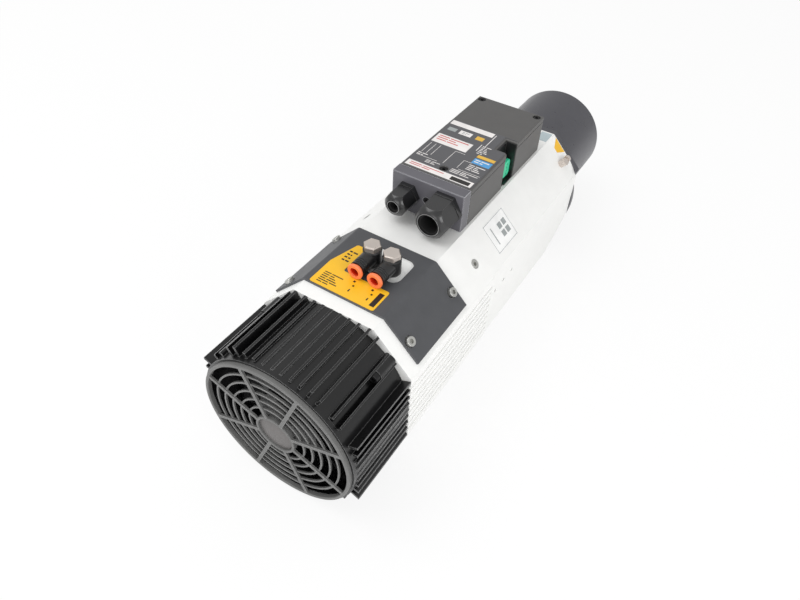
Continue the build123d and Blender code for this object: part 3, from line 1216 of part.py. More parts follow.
flange_screw = socket_screw(
    M6_RADIUS, M6_HEAD_RADIUS, M6_HEAD, FLANGE_THICKNESS + FLANGE_SCREW_GRIP - SCREW_END_GAP
)
front_face = Plane(origin=(0, FLANGE_FRONT, AXIS_HEIGHT), x_dir=(1, 0, 0), z_dir=(0, 1, 0))
with BuildPart() as flange_screws:
    with Locations(front_face):
        with PolarLocations(
            FLANGE_SCREW_CIRCLE, FLANGE_SCREWS, start_angle=180 / FLANGE_SCREWS, rotate=False
        ):
            add(flange_screw)
save(flange_screws.part, "flange_screws")

with BuildPart() as nose_cap:
    disc(NOSE_JOINT, NOSE_END, NOSE_RADIUS)
    chamfer(nose_cap.edges().filter_by(GeomType.CIRCLE).group_by(Axis.Y)[-1], NOSE_EDGE)
    disc(FLANGE_BACK, NOSE_JOINT, FRONT_BEARING_RADIUS - SEAT_GAP)
    disc(FLANGE_BACK, NOSE_END, CAP_BORE, mode=Mode.SUBTRACT)
    with BuildSketch(section(NOSE_END)):
        with PolarLocations(CAP_SCREW_CIRCLE, CAP_SCREWS):
            Circle(M4_RADIUS + SCREW_GAP)
    extrude(amount=NOSE_CAP_THICKNESS, mode=Mode.SUBTRACT)
    with BuildSketch(section(NOSE_END)):
        with PolarLocations(CAP_SCREW_CIRCLE, CAP_SCREWS):
            Circle(M4_HEAD_RADIUS + SCREW_GAP)
    extrude(amount=CAP_POCKET, mode=Mode.SUBTRACT)
save(nose_cap.part, "nose_cap")

nose_cap_screw = socket_screw(
    M4_RADIUS,
    M4_HEAD_RADIUS,
    M4_HEAD,
    NOSE_CAP_THICKNESS - CAP_POCKET + CAP_SCREW_GRIP_DEPTH - SCREW_END_GAP,
)
cap_plane = Plane(
    origin=(0, NOSE_END - CAP_POCKET, AXIS_HEIGHT), x_dir=(1, 0, 0), z_dir=(0, 1, 0)
)
with BuildPart() as nose_cap_screws:
    with Locations(cap_plane):
        with PolarLocations(CAP_SCREW_CIRCLE, CAP_SCREWS, rotate=False):
            add(nose_cap_screw)
save(nose_cap_screws.part, "nose_cap_screws")


# --------------------------------------------------------------------------------------
# Spindle shaft with its taper, keys, sleeves and lock nut
# --------------------------------------------------------------------------------------
with BuildPart() as spindle_shaft:
    disc(SHAFT_REAR, SHAFT_STEP, SHAFT_REAR_RADIUS)
    disc(SHAFT_STEP, FLANGE_BACK, SHAFT_RADIUS)
    disc(FLANGE_BACK, SHAFT_END, SHAFT_FLANGE_RADIUS)
    nose_edge = spindle_shaft.edges().filter_by(GeomType.CIRCLE).group_by(Axis.Y)[-1]
    chamfer(nose_edge, EDGE_BREAK)
    with BuildSketch(Plane.XY.offset(AXIS_HEIGHT)):
        Polygon(
            (0, TAPER_BACK),
            (TAPER_SMALL_RADIUS, TAPER_BACK),
            (TAPER_GAUGE_RADIUS, SHAFT_END),
            (0, SHAFT_END),
            align=None,
        )
    revolve(axis=SPINDLE_AXIS, mode=Mode.SUBTRACT)
    disc(CHAMBER_BACK, TAPER_BACK, GRIPPER_BORE, mode=Mode.SUBTRACT)
    disc(SPRING_SEAT, CHAMBER_BACK, DRAWBAR_RADIUS + RUNNING_GAP, mode=Mode.SUBTRACT)
    disc(SHAFT_REAR, SPRING_SEAT, SPRING_CHAMBER, mode=Mode.SUBTRACT)
    with BuildSketch(section(SHAFT_END)):
        for side in SIDES:
            with Locations((side * (KEY_INNER + SHAFT_FLANGE_RADIUS) / 2, 0)):
                Rectangle(
                    SHAFT_FLANGE_RADIUS - KEY_INNER + 2 * SEAT_GAP, KEY_WIDTH + 2 * SEAT_GAP
                )
    extrude(amount=KEY_SEAT, mode=Mode.SUBTRACT)
    with BuildSketch(section(SHAFT_END - KEY_SEAT)):
        for side in SIDES:
            with Locations((side * (KEY_INNER + KEY_OUTER) / 2, 0)):
                Circle(M4_RADIUS + SEAT_GAP)
    extrude(amount=CAP_SCREW_GRIP_DEPTH, mode=Mode.SUBTRACT)
save(spindle_shaft.part, "spindle_shaft")

KEY_END = SHAFT_END - KEY_SEAT + KEY_LENGTH
with BuildPart() as drive_keys:
    for side in SIDES:
        with BuildSketch(section(KEY_END)):
            with Locations((side * (KEY_INNER + KEY_OUTER) / 2, 0)):
                Rectangle(KEY_OUTER - KEY_INNER, KEY_WIDTH)
        extrude(amount=KEY_LENGTH)
    chamfer(drive_keys.edges().group_by(Axis.Y)[-1], EDGE_BREAK)
    with BuildSketch(section(KEY_END)):
        for side in SIDES:
            with Locations((side * (KEY_INNER + KEY_OUTER) / 2, 0)):
                Circle(M4_RADIUS + SCREW_GAP)
    extrude(amount=KEY_LENGTH, mode=Mode.SUBTRACT)
    with BuildSketch(section(KEY_END)):
        for side in SIDES:
            with Locations((side * (KEY_INNER + KEY_OUTER) / 2, 0)):
                Circle(M4_HEAD_RADIUS + SCREW_GAP)
    extrude(amount=CAP_POCKET, mode=Mode.SUBTRACT)
save(drive_keys.part, "drive_keys")

key_screw = socket_screw(
    M4_RADIUS,
    M4_HEAD_RADIUS,
    M4_HEAD,
    KEY_LENGTH - CAP_POCKET + CAP_SCREW_GRIP_DEPTH - SCREW_END_GAP,
)
with BuildPart() as key_screws:
    for side in SIDES:
        origin = (side * (KEY_INNER + KEY_OUTER) / 2, KEY_END - CAP_POCKET, AXIS_HEIGHT)
        with Locations(Plane(origin=origin, x_dir=(1, 0, 0), z_dir=(0, 1, 0))):
            add(key_screw)
save(key_screws.part, "key_screws")

SLEEVE_RADIUS = SHAFT_RADIUS + SLEEVE_WALL
SPACER_START = BEARINGS_START + FRONT_BEARING_WIDTH
SPACER_END = SPACER_START + BEARING_SPACER
with BuildPart() as shaft_sleeves:
    disc(STATOR_FRONT, BEARINGS_START, SLEEVE_RADIUS, SHAFT_RADIUS + SEAT_GAP)
    disc(SPACER_START, SPACER_END, SLEEVE_RADIUS, SHAFT_RADIUS + SEAT_GAP)
save(shaft_sleeves.part, "shaft_sleeves")

with BuildPart() as bearing_spacer:
    spacer_bore = FRONT_BEARING_RADIUS - SLEEVE_WALL
    disc(SPACER_START, SPACER_END, FRONT_BEARING_RADIUS, spacer_bore)
save(bearing_spacer.part, "bearing_spacer")

with BuildPart() as shaft_lock_nut:
    disc(
        LOCK_NUT_START,
        LOCK_NUT_START + LOCK_NUT_WIDTH,
        LOCK_NUT_RADIUS,
        SHAFT_REAR_RADIUS + SEAT_GAP,
    )
    with BuildSketch(section(LOCK_NUT_START + LOCK_NUT_WIDTH)):
        with PolarLocations(LOCK_NUT_RADIUS, LOCK_NUT_SLOTS):
            Rectangle(2 * LOCK_SLOT_DEPTH, LOCK_SLOT_WIDTH)
    extrude(amount=LOCK_NUT_WIDTH, mode=Mode.SUBTRACT)
save(shaft_lock_nut.part, "shaft_lock_nut")


# --------------------------------------------------------------------------------------
# Rolling bearings and the rear bearing's housing
# --------------------------------------------------------------------------------------
def groove(middle, pitch_radius, radius, mode):
    """Ring of round section about the spindle axis, in the open part."""
    with Locations(Plane(origin=(0, middle, AXIS_HEIGHT), x_dir=(1, 0, 0), z_dir=(0, 1, 0))):
        Torus(pitch_radius, radius, mode=mode)


# start, width, bore and outer radius of every bearing
BEARINGS = [
    (REAR_BEARING_START, REAR_BEARING_WIDTH, SHAFT_REAR_RADIUS, REAR_BEARING_RADIUS),
    (BEARINGS_START, FRONT_BEARING_WIDTH, SHAFT_RADIUS, FRONT_BEARING_RADIUS),
    (SPACER_END, FRONT_BEARING_WIDTH, SHAFT_RADIUS, FRONT_BEARING_RADIUS),
]

with BuildPart() as bearing_outer_rings:
    for start, width, bore, outer in BEARINGS:
        pitch = (bore + outer) / 2
        ball = 2 * pitch * BALL_SHARE
        disc(start, start + width, outer, outer - (outer - bore) * BEARING_RING_SHARE)
        groove(start + width / 2, pitch, ball + RUNNING_GAP, Mode.SUBTRACT)
save(bearing_outer_rings.part, "bearing_outer_rings")

with BuildPart() as bearing_inner_rings:
    for start, width, bore, outer in BEARINGS:
        pitch = (bore + outer) / 2
        ball = 2 * pitch * BALL_SHARE
        ring = (outer - bore) * BEARING_RING_SHARE
        disc(start, start + width, bore + ring, bore + SEAT_GAP)
        groove(start + width / 2, pitch, ball + RUNNING_GAP, Mode.SUBTRACT)
save(bearing_inner_rings.part, "bearing_inner_rings")

with BuildPart() as bearing_balls:
    for start, width, bore, outer in BEARINGS:
        pitch = (bore + outer) / 2
        ball = 2 * pitch * BALL_SHARE
        middle = start + width / 2
        half = width * CAGE_SHARE / 2
        disc(middle - half, middle + half, pitch + CAGE_THICKNESS / 2, pitch - CAGE_THICKNESS / 2)
        with Locations(Plane(origin=(0, middle, AXIS_HEIGHT), x_dir=(1, 0, 0), z_dir=(0, 1, 0))):
            with PolarLocations(pitch, BALLS):
                Sphere(ball)
save(bearing_balls.part, "bearing_balls")

with BuildPart() as rear_bearing_housing:
    housing_end = REAR_BEARING_START + REAR_HOUSING_THICKNESS
    disc(REAR_BEARING_START, housing_end, BODY_BORE - SEAT_GAP, SHAFT_RADIUS + SHAFT_CLEARANCE)
    disc(
        REAR_BEARING_START,
        housing_end - REAR_HOUSING_LIP,
        REAR_BEARING_RADIUS + SEAT_GAP,
        mode=Mode.SUBTRACT,
    )
save(rear_bearing_housing.part, "rear_bearing_housing")


# --------------------------------------------------------------------------------------
# Motor: slotted stator, its windings, rotor core
# --------------------------------------------------------------------------------------
with BuildPart() as stator_core:
    disc(STATOR_REAR, STATOR_FRONT, BODY_BORE - SEAT_GAP, STATOR_BORE)
    with BuildSketch(section(STATOR_FRONT)):
        with PolarLocations(STATOR_BORE + SLOT_DEPTH / 2, STATOR_SLOTS):
            Rectangle(SLOT_DEPTH + SLOT_OPENING, SLOT_WIDTH)
    extrude(amount=MOTOR_LENGTH, mode=Mode.SUBTRACT)
save(stator_core.part, "stator_core")

WINDING_INNER = STATOR_BORE + WINDING_STEP
WIRE_INNER = WINDING_INNER + WIRE_STEP
WIRE_OUTER = STATOR_BORE + SLOT_DEPTH - SLOT_LINER
with BuildPart() as stator_windings:
    for start in (STATOR_REAR - WINDING_LENGTH, STATOR_FRONT):
        disc(start, start + WINDING_LENGTH, WINDING_INNER + WINDING_WALL, WINDING_INNER)
    outer_edges = stator_windings.edges().filter_by(GeomType.CIRCLE)
    fillet(outer_edges.group_by(Axis.Y)[0] + outer_edges.group_by(Axis.Y)[-1], WINDING_ROUND)
    with BuildSketch(section(STATOR_FRONT)):
        with PolarLocations((WIRE_INNER + WIRE_OUTER) / 2, STATOR_SLOTS):
            Rectangle(WIRE_OUTER - WIRE_INNER, SLOT_WIDTH - 2 * SCREW_GAP)
    extrude(amount=MOTOR_LENGTH)
save(stator_windings.part, "stator_windings")

with BuildPart() as rotor_core:
    disc(STATOR_REAR, STATOR_FRONT, ROTOR_RADIUS, SHAFT_RADIUS + SEAT_GAP)
save(rotor_core.part, "rotor_core")


# --------------------------------------------------------------------------------------
# Drawbar with its gripper, and the disc springs
# --------------------------------------------------------------------------------------
def washer_pack(start):
    """A stack of disc springs in alternating pairs, in the open part."""
    for index in range(2 * SPRING_PAIRS):
        low = start + index * WASHER_PITCH
        rise = SPRING_CONE if index % 2 == 0 else 0.0
        fall = SPRING_CONE - rise
        thick = SPRING_SHEET - WASHER_AIR
        with BuildSketch(Plane.XY.offset(AXIS_HEIGHT)) as washer:
            Polygon(
                (SPRING_BORE, low + rise),
                (SPRING_RADIUS, low + fall),
                (SPRING_RADIUS, low + fall + thick),
                (SPRING_BORE, low + rise + thick),
                align=None,
            )
        revolve(washer.sketch, axis=SPINDLE_AXIS)


FRONT_PACK = SPRING_SEAT - PACK_GAP - PACK_LENGTH
REAR_PACK = FRONT_PACK - PACK_GAP - PACK_LENGTH
NUT_FRONT = REAR_PACK - PACK_GAP
STEM_START = CHAMBER_BACK + MOVING_GAP

with BuildPart() as disc_springs_front:
    washer_pack(FRONT_PACK)
save(disc_springs_front.part, "disc_springs_front")

with BuildPart() as disc_springs_rear:
    washer_pack(REAR_PACK)
save(disc_springs_rear.part, "disc_springs_rear")

with BuildPart() as drawbar:
    disc(DRAWBAR_REAR, STEM_START, DRAWBAR_RADIUS)
    disc(STEM_START, STEM_START + DRAWBAR_STEM_LENGTH, DRAWBAR_STEM)
    chamfer(drawbar.edges().filter_by(GeomType.CIRCLE).group_by(Axis.Y)[0], EDGE_BREAK)
save(drawbar.part, "drawbar")

with BuildPart() as drawbar_nut:
    disc(NUT_FRONT - DRAWBAR_NUT, NUT_FRONT, SPRING_RADIUS, DRAWBAR_RADIUS + SEAT_GAP)
    chamfer(drawbar_nut.edges().filter_by(GeomType.CIRCLE).group_by(Axis.Y)[0], EDGE_BREAK)
save(drawbar_nut.part, "drawbar_nut")

with BuildPart() as tool_gripper:
    gripper_end = STEM_START + GRIPPER_LENGTH
    root_end = STEM_START + DRAWBAR_STEM_LENGTH
    disc(STEM_START, gripper_end, GRIPPER_RADIUS, DRAWBAR_STEM + SEAT_GAP)
    chamfer(tool_gripper.edges().filter_by(GeomType.CIRCLE).group_by(Axis.Y)[-1], EDGE_BREAK)
    disc(root_end, gripper_end - GRIPPER_LIP_LENGTH, GRIPPER_INNER, mode=Mode.SUBTRACT)
    disc(gripper_end - GRIPPER_LIP_LENGTH, gripper_end, GRIPPER_LIP, mode=Mode.SUBTRACT)
    with BuildSketch(section(gripper_end)):
        for index in range(GRIPPER_FINGERS // 2):
            Rectangle(3 * GRIPPER_RADIUS, GRIPPER_SLOT, rotation=index * 90)
    extrude(amount=gripper_end - root_end - GRIPPER_ROOT, mode=Mode.SUBTRACT)
save(tool_gripper.part, "tool_gripper")


# --------------------------------------------------------------------------------------
# Release unit: air cylinder, piston with its sealing ring, cover, retaining ring
# --------------------------------------------------------------------------------------
PISTON_REAR = CYLINDER_REAR + PISTON_START
PISTON_FRONT = PISTON_REAR + PISTON_THICKNESS
CYLINDER_BORE = BODY_BORE - CYLINDER_WALL
CHAMBER_FRONT = CYLINDER_FRONT - CYLINDER_END
PISTON_SEAL_Y = (PISTON_REAR + PISTON_FRONT) / 2


with BuildPart() as release_cylinder:
    disc(CYLINDER_REAR, CYLINDER_FRONT, BODY_BORE - SEAT_GAP)
    disc(CYLINDER_REAR, CHAMBER_FRONT, CYLINDER_BORE, mode=Mode.SUBTRACT)
    disc(CHAMBER_FRONT, CYLINDER_FRONT, PISTON_ROD + RUNNING_GAP, mode=Mode.SUBTRACT)
    # outer grooves lead the air of the two ports to the chambers behind and ahead of the piston
    for x, hole_y in zip(
        PORTS_X, (CYLINDER_REAR + AIR_HOLE_INSET, CHAMBER_FRONT - AIR_HOLE_INSET)
    ):
        low = min(PORT_Y, hole_y) - PORT_PASSAGE
        high = max(PORT_Y, hole_y) + PORT_PASSAGE
        with BuildSketch(top_plane(x, (low + high) / 2, AXIS_HEIGHT + BODY_BORE)):
            Rectangle(AIR_GROOVE_WIDTH, high - low)
        extrude(amount=-AIR_GROOVE_DEPTH - AIR_GROOVE_DROP, mode=Mode.SUBTRACT)
        with BuildSketch(top_plane(x, hole_y, AXIS_HEIGHT + BODY_BORE)):
            Circle(PORT_PASSAGE)
        extrude(amount=-2 * CYLINDER_WALL, mode=Mode.SUBTRACT)
save(release_cylinder.part, "release_cylinder")

with BuildPart() as release_piston:
    disc(PISTON_REAR, PISTON_FRONT, CYLINDER_BORE - RUNNING_GAP)
    disc(PISTON_FRONT, CYLINDER_FRONT, PISTON_ROD)
    disc(
        PISTON_SEAL_Y - SEAL_GROOVE / 2,
        PISTON_SEAL_Y + SEAL_GROOVE / 2,
        CYLINDER_BORE,
        CYLINDER_BORE - 2 * PISTON_SEAL,
        mode=Mode.SUBTRACT,
    )
save(release_piston.part, "release_piston")

with BuildPart() as piston_seal:
    seal_radius = CYLINDER_BORE - PISTON_SEAL - SEAT_GAP
    groove(PISTON_SEAL_Y, seal_radius, PISTON_SEAL - 2 * SEAT_GAP, Mode.ADD)
save(piston_seal.part, "piston_seal")

with BuildPart() as cylinder_cover:
    disc(CYLINDER_REAR - COVER_THICKNESS, CYLINDER_REAR, BODY_BORE - SEAT_GAP)
save(cylinder_cover.part, "cylinder_cover")

with BuildPart() as retaining_ring:
    ring_end = CYLINDER_REAR - COVER_THICKNESS
    ring_start = ring_end - RETAINER_THICKNESS
    disc(ring_start, ring_end, RETAINER_RADIUS, RETAINER_RADIUS - RETAINER_WIDTH)
    with BuildSketch(section(ring_end)):
        with Locations((0, -RETAINER_RADIUS)):
            Rectangle(RETAINER_OPENING, 3 * RETAINER_WIDTH)
    extrude(amount=RETAINER_THICKNESS, mode=Mode.SUBTRACT)
save(retaining_ring.part, "retaining_ring")


# --------------------------------------------------------------------------------------
# Speed ring on the shaft and its sensor
# --------------------------------------------------------------------------------------
SPEED_RING_END = SPEED_RING_START + SPEED_RING_WIDTH
SENSOR_Y = (SPEED_RING_START + SPEED_RING_END) / 2

with BuildPart() as speed_ring:
    disc(SPEED_RING_START, SPEED_RING_END, SPEED_RING_RADIUS, SHAFT_REAR_RADIUS + SEAT_GAP)
    with BuildSketch(section(SPEED_RING_END)):
        with PolarLocations(SPEED_RING_RADIUS, SPEED_RING_TEETH):
            Rectangle(2 * SPEED_TOOTH_DEPTH, SPEED_TOOTH_WIDTH)
    extrude(amount=SPEED_RING_WIDTH, mode=Mode.SUBTRACT)
save(speed_ring.part, "speed_ring")

with BuildPart() as speed_sensor:
    block_start = SENSOR_Y - SENSOR_RADIUS
    block_middle = (block_start + REAR_BEARING_START) / 2
    with BuildSketch(top_plane(0, block_middle, AXIS_HEIGHT + SENSOR_BLOCK_START)):
        Rectangle(SENSOR_BLOCK_WIDTH, REAR_BEARING_START - block_start)
    extrude(amount=BODY_BORE - SENSOR_BLOCK_GAP - SENSOR_BLOCK_START)
    with BuildSketch(top_plane(0, SENSOR_Y, AXIS_HEIGHT + SPEED_RING_RADIUS + SENSOR_GAP)):
        Circle(SENSOR_RADIUS)
    extrude(amount=SENSOR_BLOCK_START - SPEED_RING_RADIUS)
save(speed_sensor.part, "speed_sensor")
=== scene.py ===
"""Looks of an air-cooled, tool-changing motor spindle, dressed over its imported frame.

Every CAD node keeps its place and gets a procedural finish; printed marks, stickers and
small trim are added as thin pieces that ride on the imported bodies.  Lengths are in metres,
in the same frame: +Y along the spindle axis to the nose, +Z up from the mounting face.
"""
import logging
import math
from dataclasses import dataclass, field
from enum import Enum
from typing import Iterable, Sequence

import bmesh
import bpy
from mathutils import Matrix, Vector


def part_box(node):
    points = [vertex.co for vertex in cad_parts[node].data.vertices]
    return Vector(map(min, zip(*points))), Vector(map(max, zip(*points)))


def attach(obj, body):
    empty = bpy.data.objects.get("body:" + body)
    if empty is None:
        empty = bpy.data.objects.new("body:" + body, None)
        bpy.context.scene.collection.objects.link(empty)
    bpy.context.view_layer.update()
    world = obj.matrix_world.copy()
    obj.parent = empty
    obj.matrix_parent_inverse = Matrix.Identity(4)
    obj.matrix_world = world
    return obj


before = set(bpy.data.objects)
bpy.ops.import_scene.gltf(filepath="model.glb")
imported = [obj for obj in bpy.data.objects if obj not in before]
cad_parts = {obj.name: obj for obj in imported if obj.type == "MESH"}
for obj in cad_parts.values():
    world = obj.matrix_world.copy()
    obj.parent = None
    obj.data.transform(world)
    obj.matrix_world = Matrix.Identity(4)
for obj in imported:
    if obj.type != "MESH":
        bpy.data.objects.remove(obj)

log = logging.getLogger("spindle")
MM = 0.001
AXIS_HEIGHT = 75 * MM           # spindle axis above the mounting face
BODY_REAR = -173 * MM
BODY_TOP = 150 * MM
BEVEL_OFFSET = 57 * MM          # middle of the upper bevel, sideways and up from the axis
GLAND_RISE = 19 * MM            # gland axes above the body's top
LONGEST_GLAND = 29 * MM
FILM = 0.05 * MM                # thickness of a film or of a coat of ink

# Shading shared by every finish
EDGE_SAMPLES = 4
MOTTLE_DETAIL = 4.0
MOTTLE_RANGE = (0.3, 0.7)       # of the slow noise, spread over the full mottling
COAT_ROUGHNESS = 0.15
EDGE_RANGE = (0.995, 0.9)       # cosine between true and rounded normal: plain, full edge
LEAST_ROUGHNESS = 0.02


class Host(Enum):
    """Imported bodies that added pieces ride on."""

    HOUSING = "housing"
    COLLET_A = "release_collet_a"
    COLLET_B = "release_collet_b"


class Space(Enum):
    """Ways a pattern can be laid over a piece."""

    SOLID = "solid"
    ROUND_AXIS = "round the spindle axis"


def linear(hex_colour: str) -> tuple[float, float, float, float]:
    """Turn an sRGB hex colour into linear light.

    Args:
        hex_colour: colour written as "#rrggbb".

    Returns:
        Linear red, green, blue and an alpha of one.
    """
    parts = [int(hex_colour[i:i + 2], 16) / 255 for i in (1, 3, 5)]
    light = [c / 12.92 if c <= 0.04045 else ((c + 0.055) / 1.055) ** 2.4 for c in parts]
    return (light[0], light[1], light[2], 1.0)


def add_node(tree: bpy.types.NodeTree, kind: str, settings: dict | None = None,
             inputs: dict | None = None) -> bpy.types.Node:
    """Add one node with its settings, constants and links.

    Args:
        tree: node tree that receives the node.
        kind: node type name.
        settings: attributes to set on the node.
        inputs: socket name or number to a constant or to another node's output socket.

    Returns:
        The new node.
    """
    node = tree.nodes.new(kind)
    for name, value in (settings or {}).items():
        setattr(node, name, value)
    for name, value in (inputs or {}).items():
        socket = node.inputs[name]
        if isinstance(value, bpy.types.NodeSocket):
            tree.links.new(value, socket)
        else:
            socket.default_value = value
    return node


def pattern_coordinates(tree: bpy.types.NodeTree,
                        space: Space) -> bpy.types.NodeSocket:
    """Coordinates in metres in which a pattern is drawn.

    Args:
        tree: node tree of the material.
        space: how the pattern lies on the piece.

    Returns:
        A vector socket.
    """
    place = add_node(tree, "ShaderNodeTexCoord").outputs["Object"]
    if space is Space.SOLID:
        return place
    parts = add_node(tree, "ShaderNodeSeparateXYZ", None, {0: place})
    rise = add_node(tree, "ShaderNodeMath", {"operation": "SUBTRACT"},
                    {0: parts.outputs["Z"], 1: AXIS_HEIGHT})
    flat = add_node(tree, "ShaderNodeCombineXYZ", None,
                    {"X": parts.outputs["X"], "Y": rise.outputs[0]})
    radius = add_node(tree, "ShaderNodeVectorMath", {"operation": "LENGTH"}, {0: flat.outputs[0]})
    return add_node(tree, "ShaderNodeCombineXYZ", None, {
        "X": radius.outputs["Value"], "Y": parts.outputs["Y"],
    }).outputs[0]


@dataclass(frozen=True)
class Grain:
    """Fine relief of a surface: pitch and height of its pattern, in metres."""

    size: float = 0.5 * MM
    depth: float = 0.01 * MM
    space: Space = Space.SOLID
    detail: float = 3.0


@dataclass(frozen=True)
class WearAndHighlight:
    """Lightening along edges, worn edges on some finishes and a painted highlight on others, with
    its reach in metres, and slow mottling of the colour.
    """

    edge: float = 0.0
    reach: float = 0.4 * MM
    edge_colour: str = "#ffffff"
    mottle: float = 0.06
    mottle_size: float = 12 * MM


@dataclass(frozen=True)
class Finish:
    """One real finish: its colour, gloss, relief, worn edges and painted edge highlights."""

    name: str
    colour: str
    roughness: float
    metallic: float = 0.0
    coat: float = 0.0
    grain: Grain = Grain()
    wear_and_highlight: WearAndHighlight = WearAndHighlight()
    roughness_spread: float = 0.08

    def material(self) -> bpy.types.Material:
        """Build the material once and hand it out.

        Returns:
            The material of this finish.
        """
        found = bpy.data.materials.get(self.name)
        if found:
            return found
        material = bpy.data.materials.new(self.name)
        material.use_nodes = True
        tree = material.node_tree
        tree.nodes.clear()
        place = add_node(tree, "ShaderNodeTexCoord").outputs["Object"]
        mottle = add_node(tree, "ShaderNodeTexNoise", None, {
            "Vector": place, "Scale": 1 / self.wear_and_highlight.mottle_size, "Detail": MOTTLE_DETAIL})
        soft = add_node(tree, "ShaderNodeBevel", {"samples": EDGE_SAMPLES},
                        {"Radius": self.wear_and_highlight.reach})
        colour = self.coloured(tree, mottle.outputs["Fac"], soft.outputs[0])
        rough = add_node(tree, "ShaderNodeMapRange", None, {
            "Value": mottle.outputs["Fac"],
            "To Min": max(LEAST_ROUGHNESS, self.roughness - self.roughness_spread),
            "To Max": min(1.0, self.roughness + self.roughness_spread)})
        relief = add_node(tree, "ShaderNodeTexNoise", None, {
            "Vector": pattern_coordinates(tree, self.grain.space),
            "Scale": 1 / self.grain.size, "Detail": self.grain.detail})
        bump = add_node(tree, "ShaderNodeBump", None, {
            "Strength": 1.0, "Distance": self.grain.depth,
            "Height": relief.outputs["Fac"], "Normal": soft.outputs[0]})
        shader = add_node(tree, "ShaderNodeBsdfPrincipled", None, {
            "Base Color": colour, "Metallic": self.metallic,
            "Roughness": rough.outputs[0], "Coat Weight": self.coat,
            "Coat Roughness": COAT_ROUGHNESS, "Normal": bump.outputs[0]})
        add_node(tree, "ShaderNodeOutputMaterial", None, {"Surface": shader.outputs[0]})
        return material

    def coloured(self, tree: bpy.types.NodeTree, mottle: bpy.types.NodeSocket,
                 soft: bpy.types.NodeSocket) -> bpy.types.NodeSocket:
        """Colour with its mottling and lighter edges.

        Args:
            tree: node tree of the material.
            mottle: slow noise.
            soft: normal rounded over the edges.

        Returns:
            The colour socket.
        """
        gain = add_node(tree, "ShaderNodeMapRange", None, {
            "Value": mottle, "From Min": MOTTLE_RANGE[0], "From Max": MOTTLE_RANGE[1],
            "To Min": 1 - self.wear_and_highlight.mottle, "To Max": 1 + self.wear_and_highlight.mottle})
        tinted = add_node(tree, "ShaderNodeMix", {"data_type": "RGBA", "blend_type": "MULTIPLY"},
                          {"Factor": 1.0, "A": linear(self.colour), "B": gain.outputs[0]})
        if self.wear_and_highlight.edge <= 0:
            return tinted.outputs["Result"]
        # lighter edges: worn edges on some finishes, a painted highlight on others
        true = add_node(tree, "ShaderNodeNewGeometry").outputs["Normal"]
        facing = add_node(tree, "ShaderNodeVectorMath", {"operation": "DOT_PRODUCT"},
                          {0: true, 1: soft})
        edge = add_node(tree, "ShaderNodeMapRange", None, {
            "Value": facing.outputs["Value"], "From Min": EDGE_RANGE[0],
            "From Max": EDGE_RANGE[1], "To Min": 0.0, "To Max": self.wear_and_highlight.edge})
        mixed = add_node(tree, "ShaderNodeMix", {"data_type": "RGBA"}, {
            "Factor": edge.outputs[0], "A": tinted.outputs["Result"],
            "B": linear(self.wear_and_highlight.edge_colour)})
        return mixed.outputs["Result"]


# Finishes, named for what they are on the real machine and how their surface was made
# bead-blasted, clear-anodised extrusion: near white, with a soft sheen and hardly any grain
SATIN_BODY = Finish("blasted_anodised_aluminium", "#f7f7f5", 0.42, 0.12,
                    grain=Grain(0.25 * MM, 0.004 * MM), wear_and_highlight=WearAndHighlight(mottle=0.015))
# black-anodised die casting: deep black valleys, with thin pale lines along the fin edges as a
# painted highlight
BLACK_COWL = Finish("black_anodised_casting", "#0b0b0c", 0.3, 0.0, 0.2,
                    grain=Grain(0.35 * MM, 0.006 * MM),
                    wear_and_highlight=WearAndHighlight(0.8, 0.6 * MM, "#858585", 0.1))
# injection-moulded guard: plain mid grey, with a painted highlight along its rims
GREY_GUARD = Finish("moulded_grey_plastic", "#666665", 0.46,
                    grain=Grain(0.4 * MM, 0.01 * MM), wear_and_highlight=WearAndHighlight(0.7, 0.5 * MM, "#bdbdbc"))
# moulded hub cap: darker, slightly warm grey with an even matt face
HUB_GREY = Finish("moulded_grey_plastic_hub", "#625f5e", 0.48,
                  grain=Grain(0.4 * MM, 0.01 * MM))
# moulded black plastic: dark, with small pale glints along its edges as a painted highlight
BLACK_PLASTIC = Finish("moulded_black_plastic", "#1b1b1c", 0.34, 0.0, 0.2,
                       grain=Grain(0.5 * MM, 0.012 * MM), wear_and_highlight=WearAndHighlight(0.3, 0.3 * MM, "#6a6a6a"))
# gland nylon: glossy black that carries long highlights down its flats, with a painted highlight
# along its edges
GLAND_NYLON = Finish("moulded_black_nylon", "#1a1a1b", 0.3, 0.0, 0.5,
                     grain=Grain(0.6 * MM, 0.01 * MM), wear_and_highlight=WearAndHighlight(0.4, 0.4 * MM, "#8a8a8a"))
# the nuts' lips: a thin pale ring round each opening, a painted highlight
NYLON_LIP_HIGHLIGHT = Finish("nylon_lip_painted_highlight", "#9b9b9b", 0.3, grain=Grain(0.6 * MM, 0.004 * MM))
# powder-coated sheet steel: mid grey, fine orange peel, bare-looking edges
PLATE_PAINT = Finish("powder_coated_sheet", "#4b4c4f", 0.48,
                     grain=Grain(0.6 * MM, 0.015 * MM), wear_and_highlight=WearAndHighlight(0.25, 0.3 * MM, "#9a9a9a"))
# powder-coated casting: warm dark grey with a fine peel that softens its highlights; its lighter
# edges are a painted highlight
BOX_PAINT = Finish("powder_coated_casting", "#565554", 0.5,
                   grain=Grain(0.7 * MM, 0.02 * MM), wear_and_highlight=WearAndHighlight(0.35, 0.4 * MM, "#989897"))
# powder-coated end cap: a cooler grey than the box, made lighter to paint the light on its rear
# face, with a painted highlight along its edges
CAP_PAINT = Finish("powder_coated_cap", "#5f5e64", 0.42,
                   grain=Grain(0.7 * MM, 0.008 * MM), wear_and_highlight=WearAndHighlight(0.95, 0.9 * MM, "#e4e4e8"))
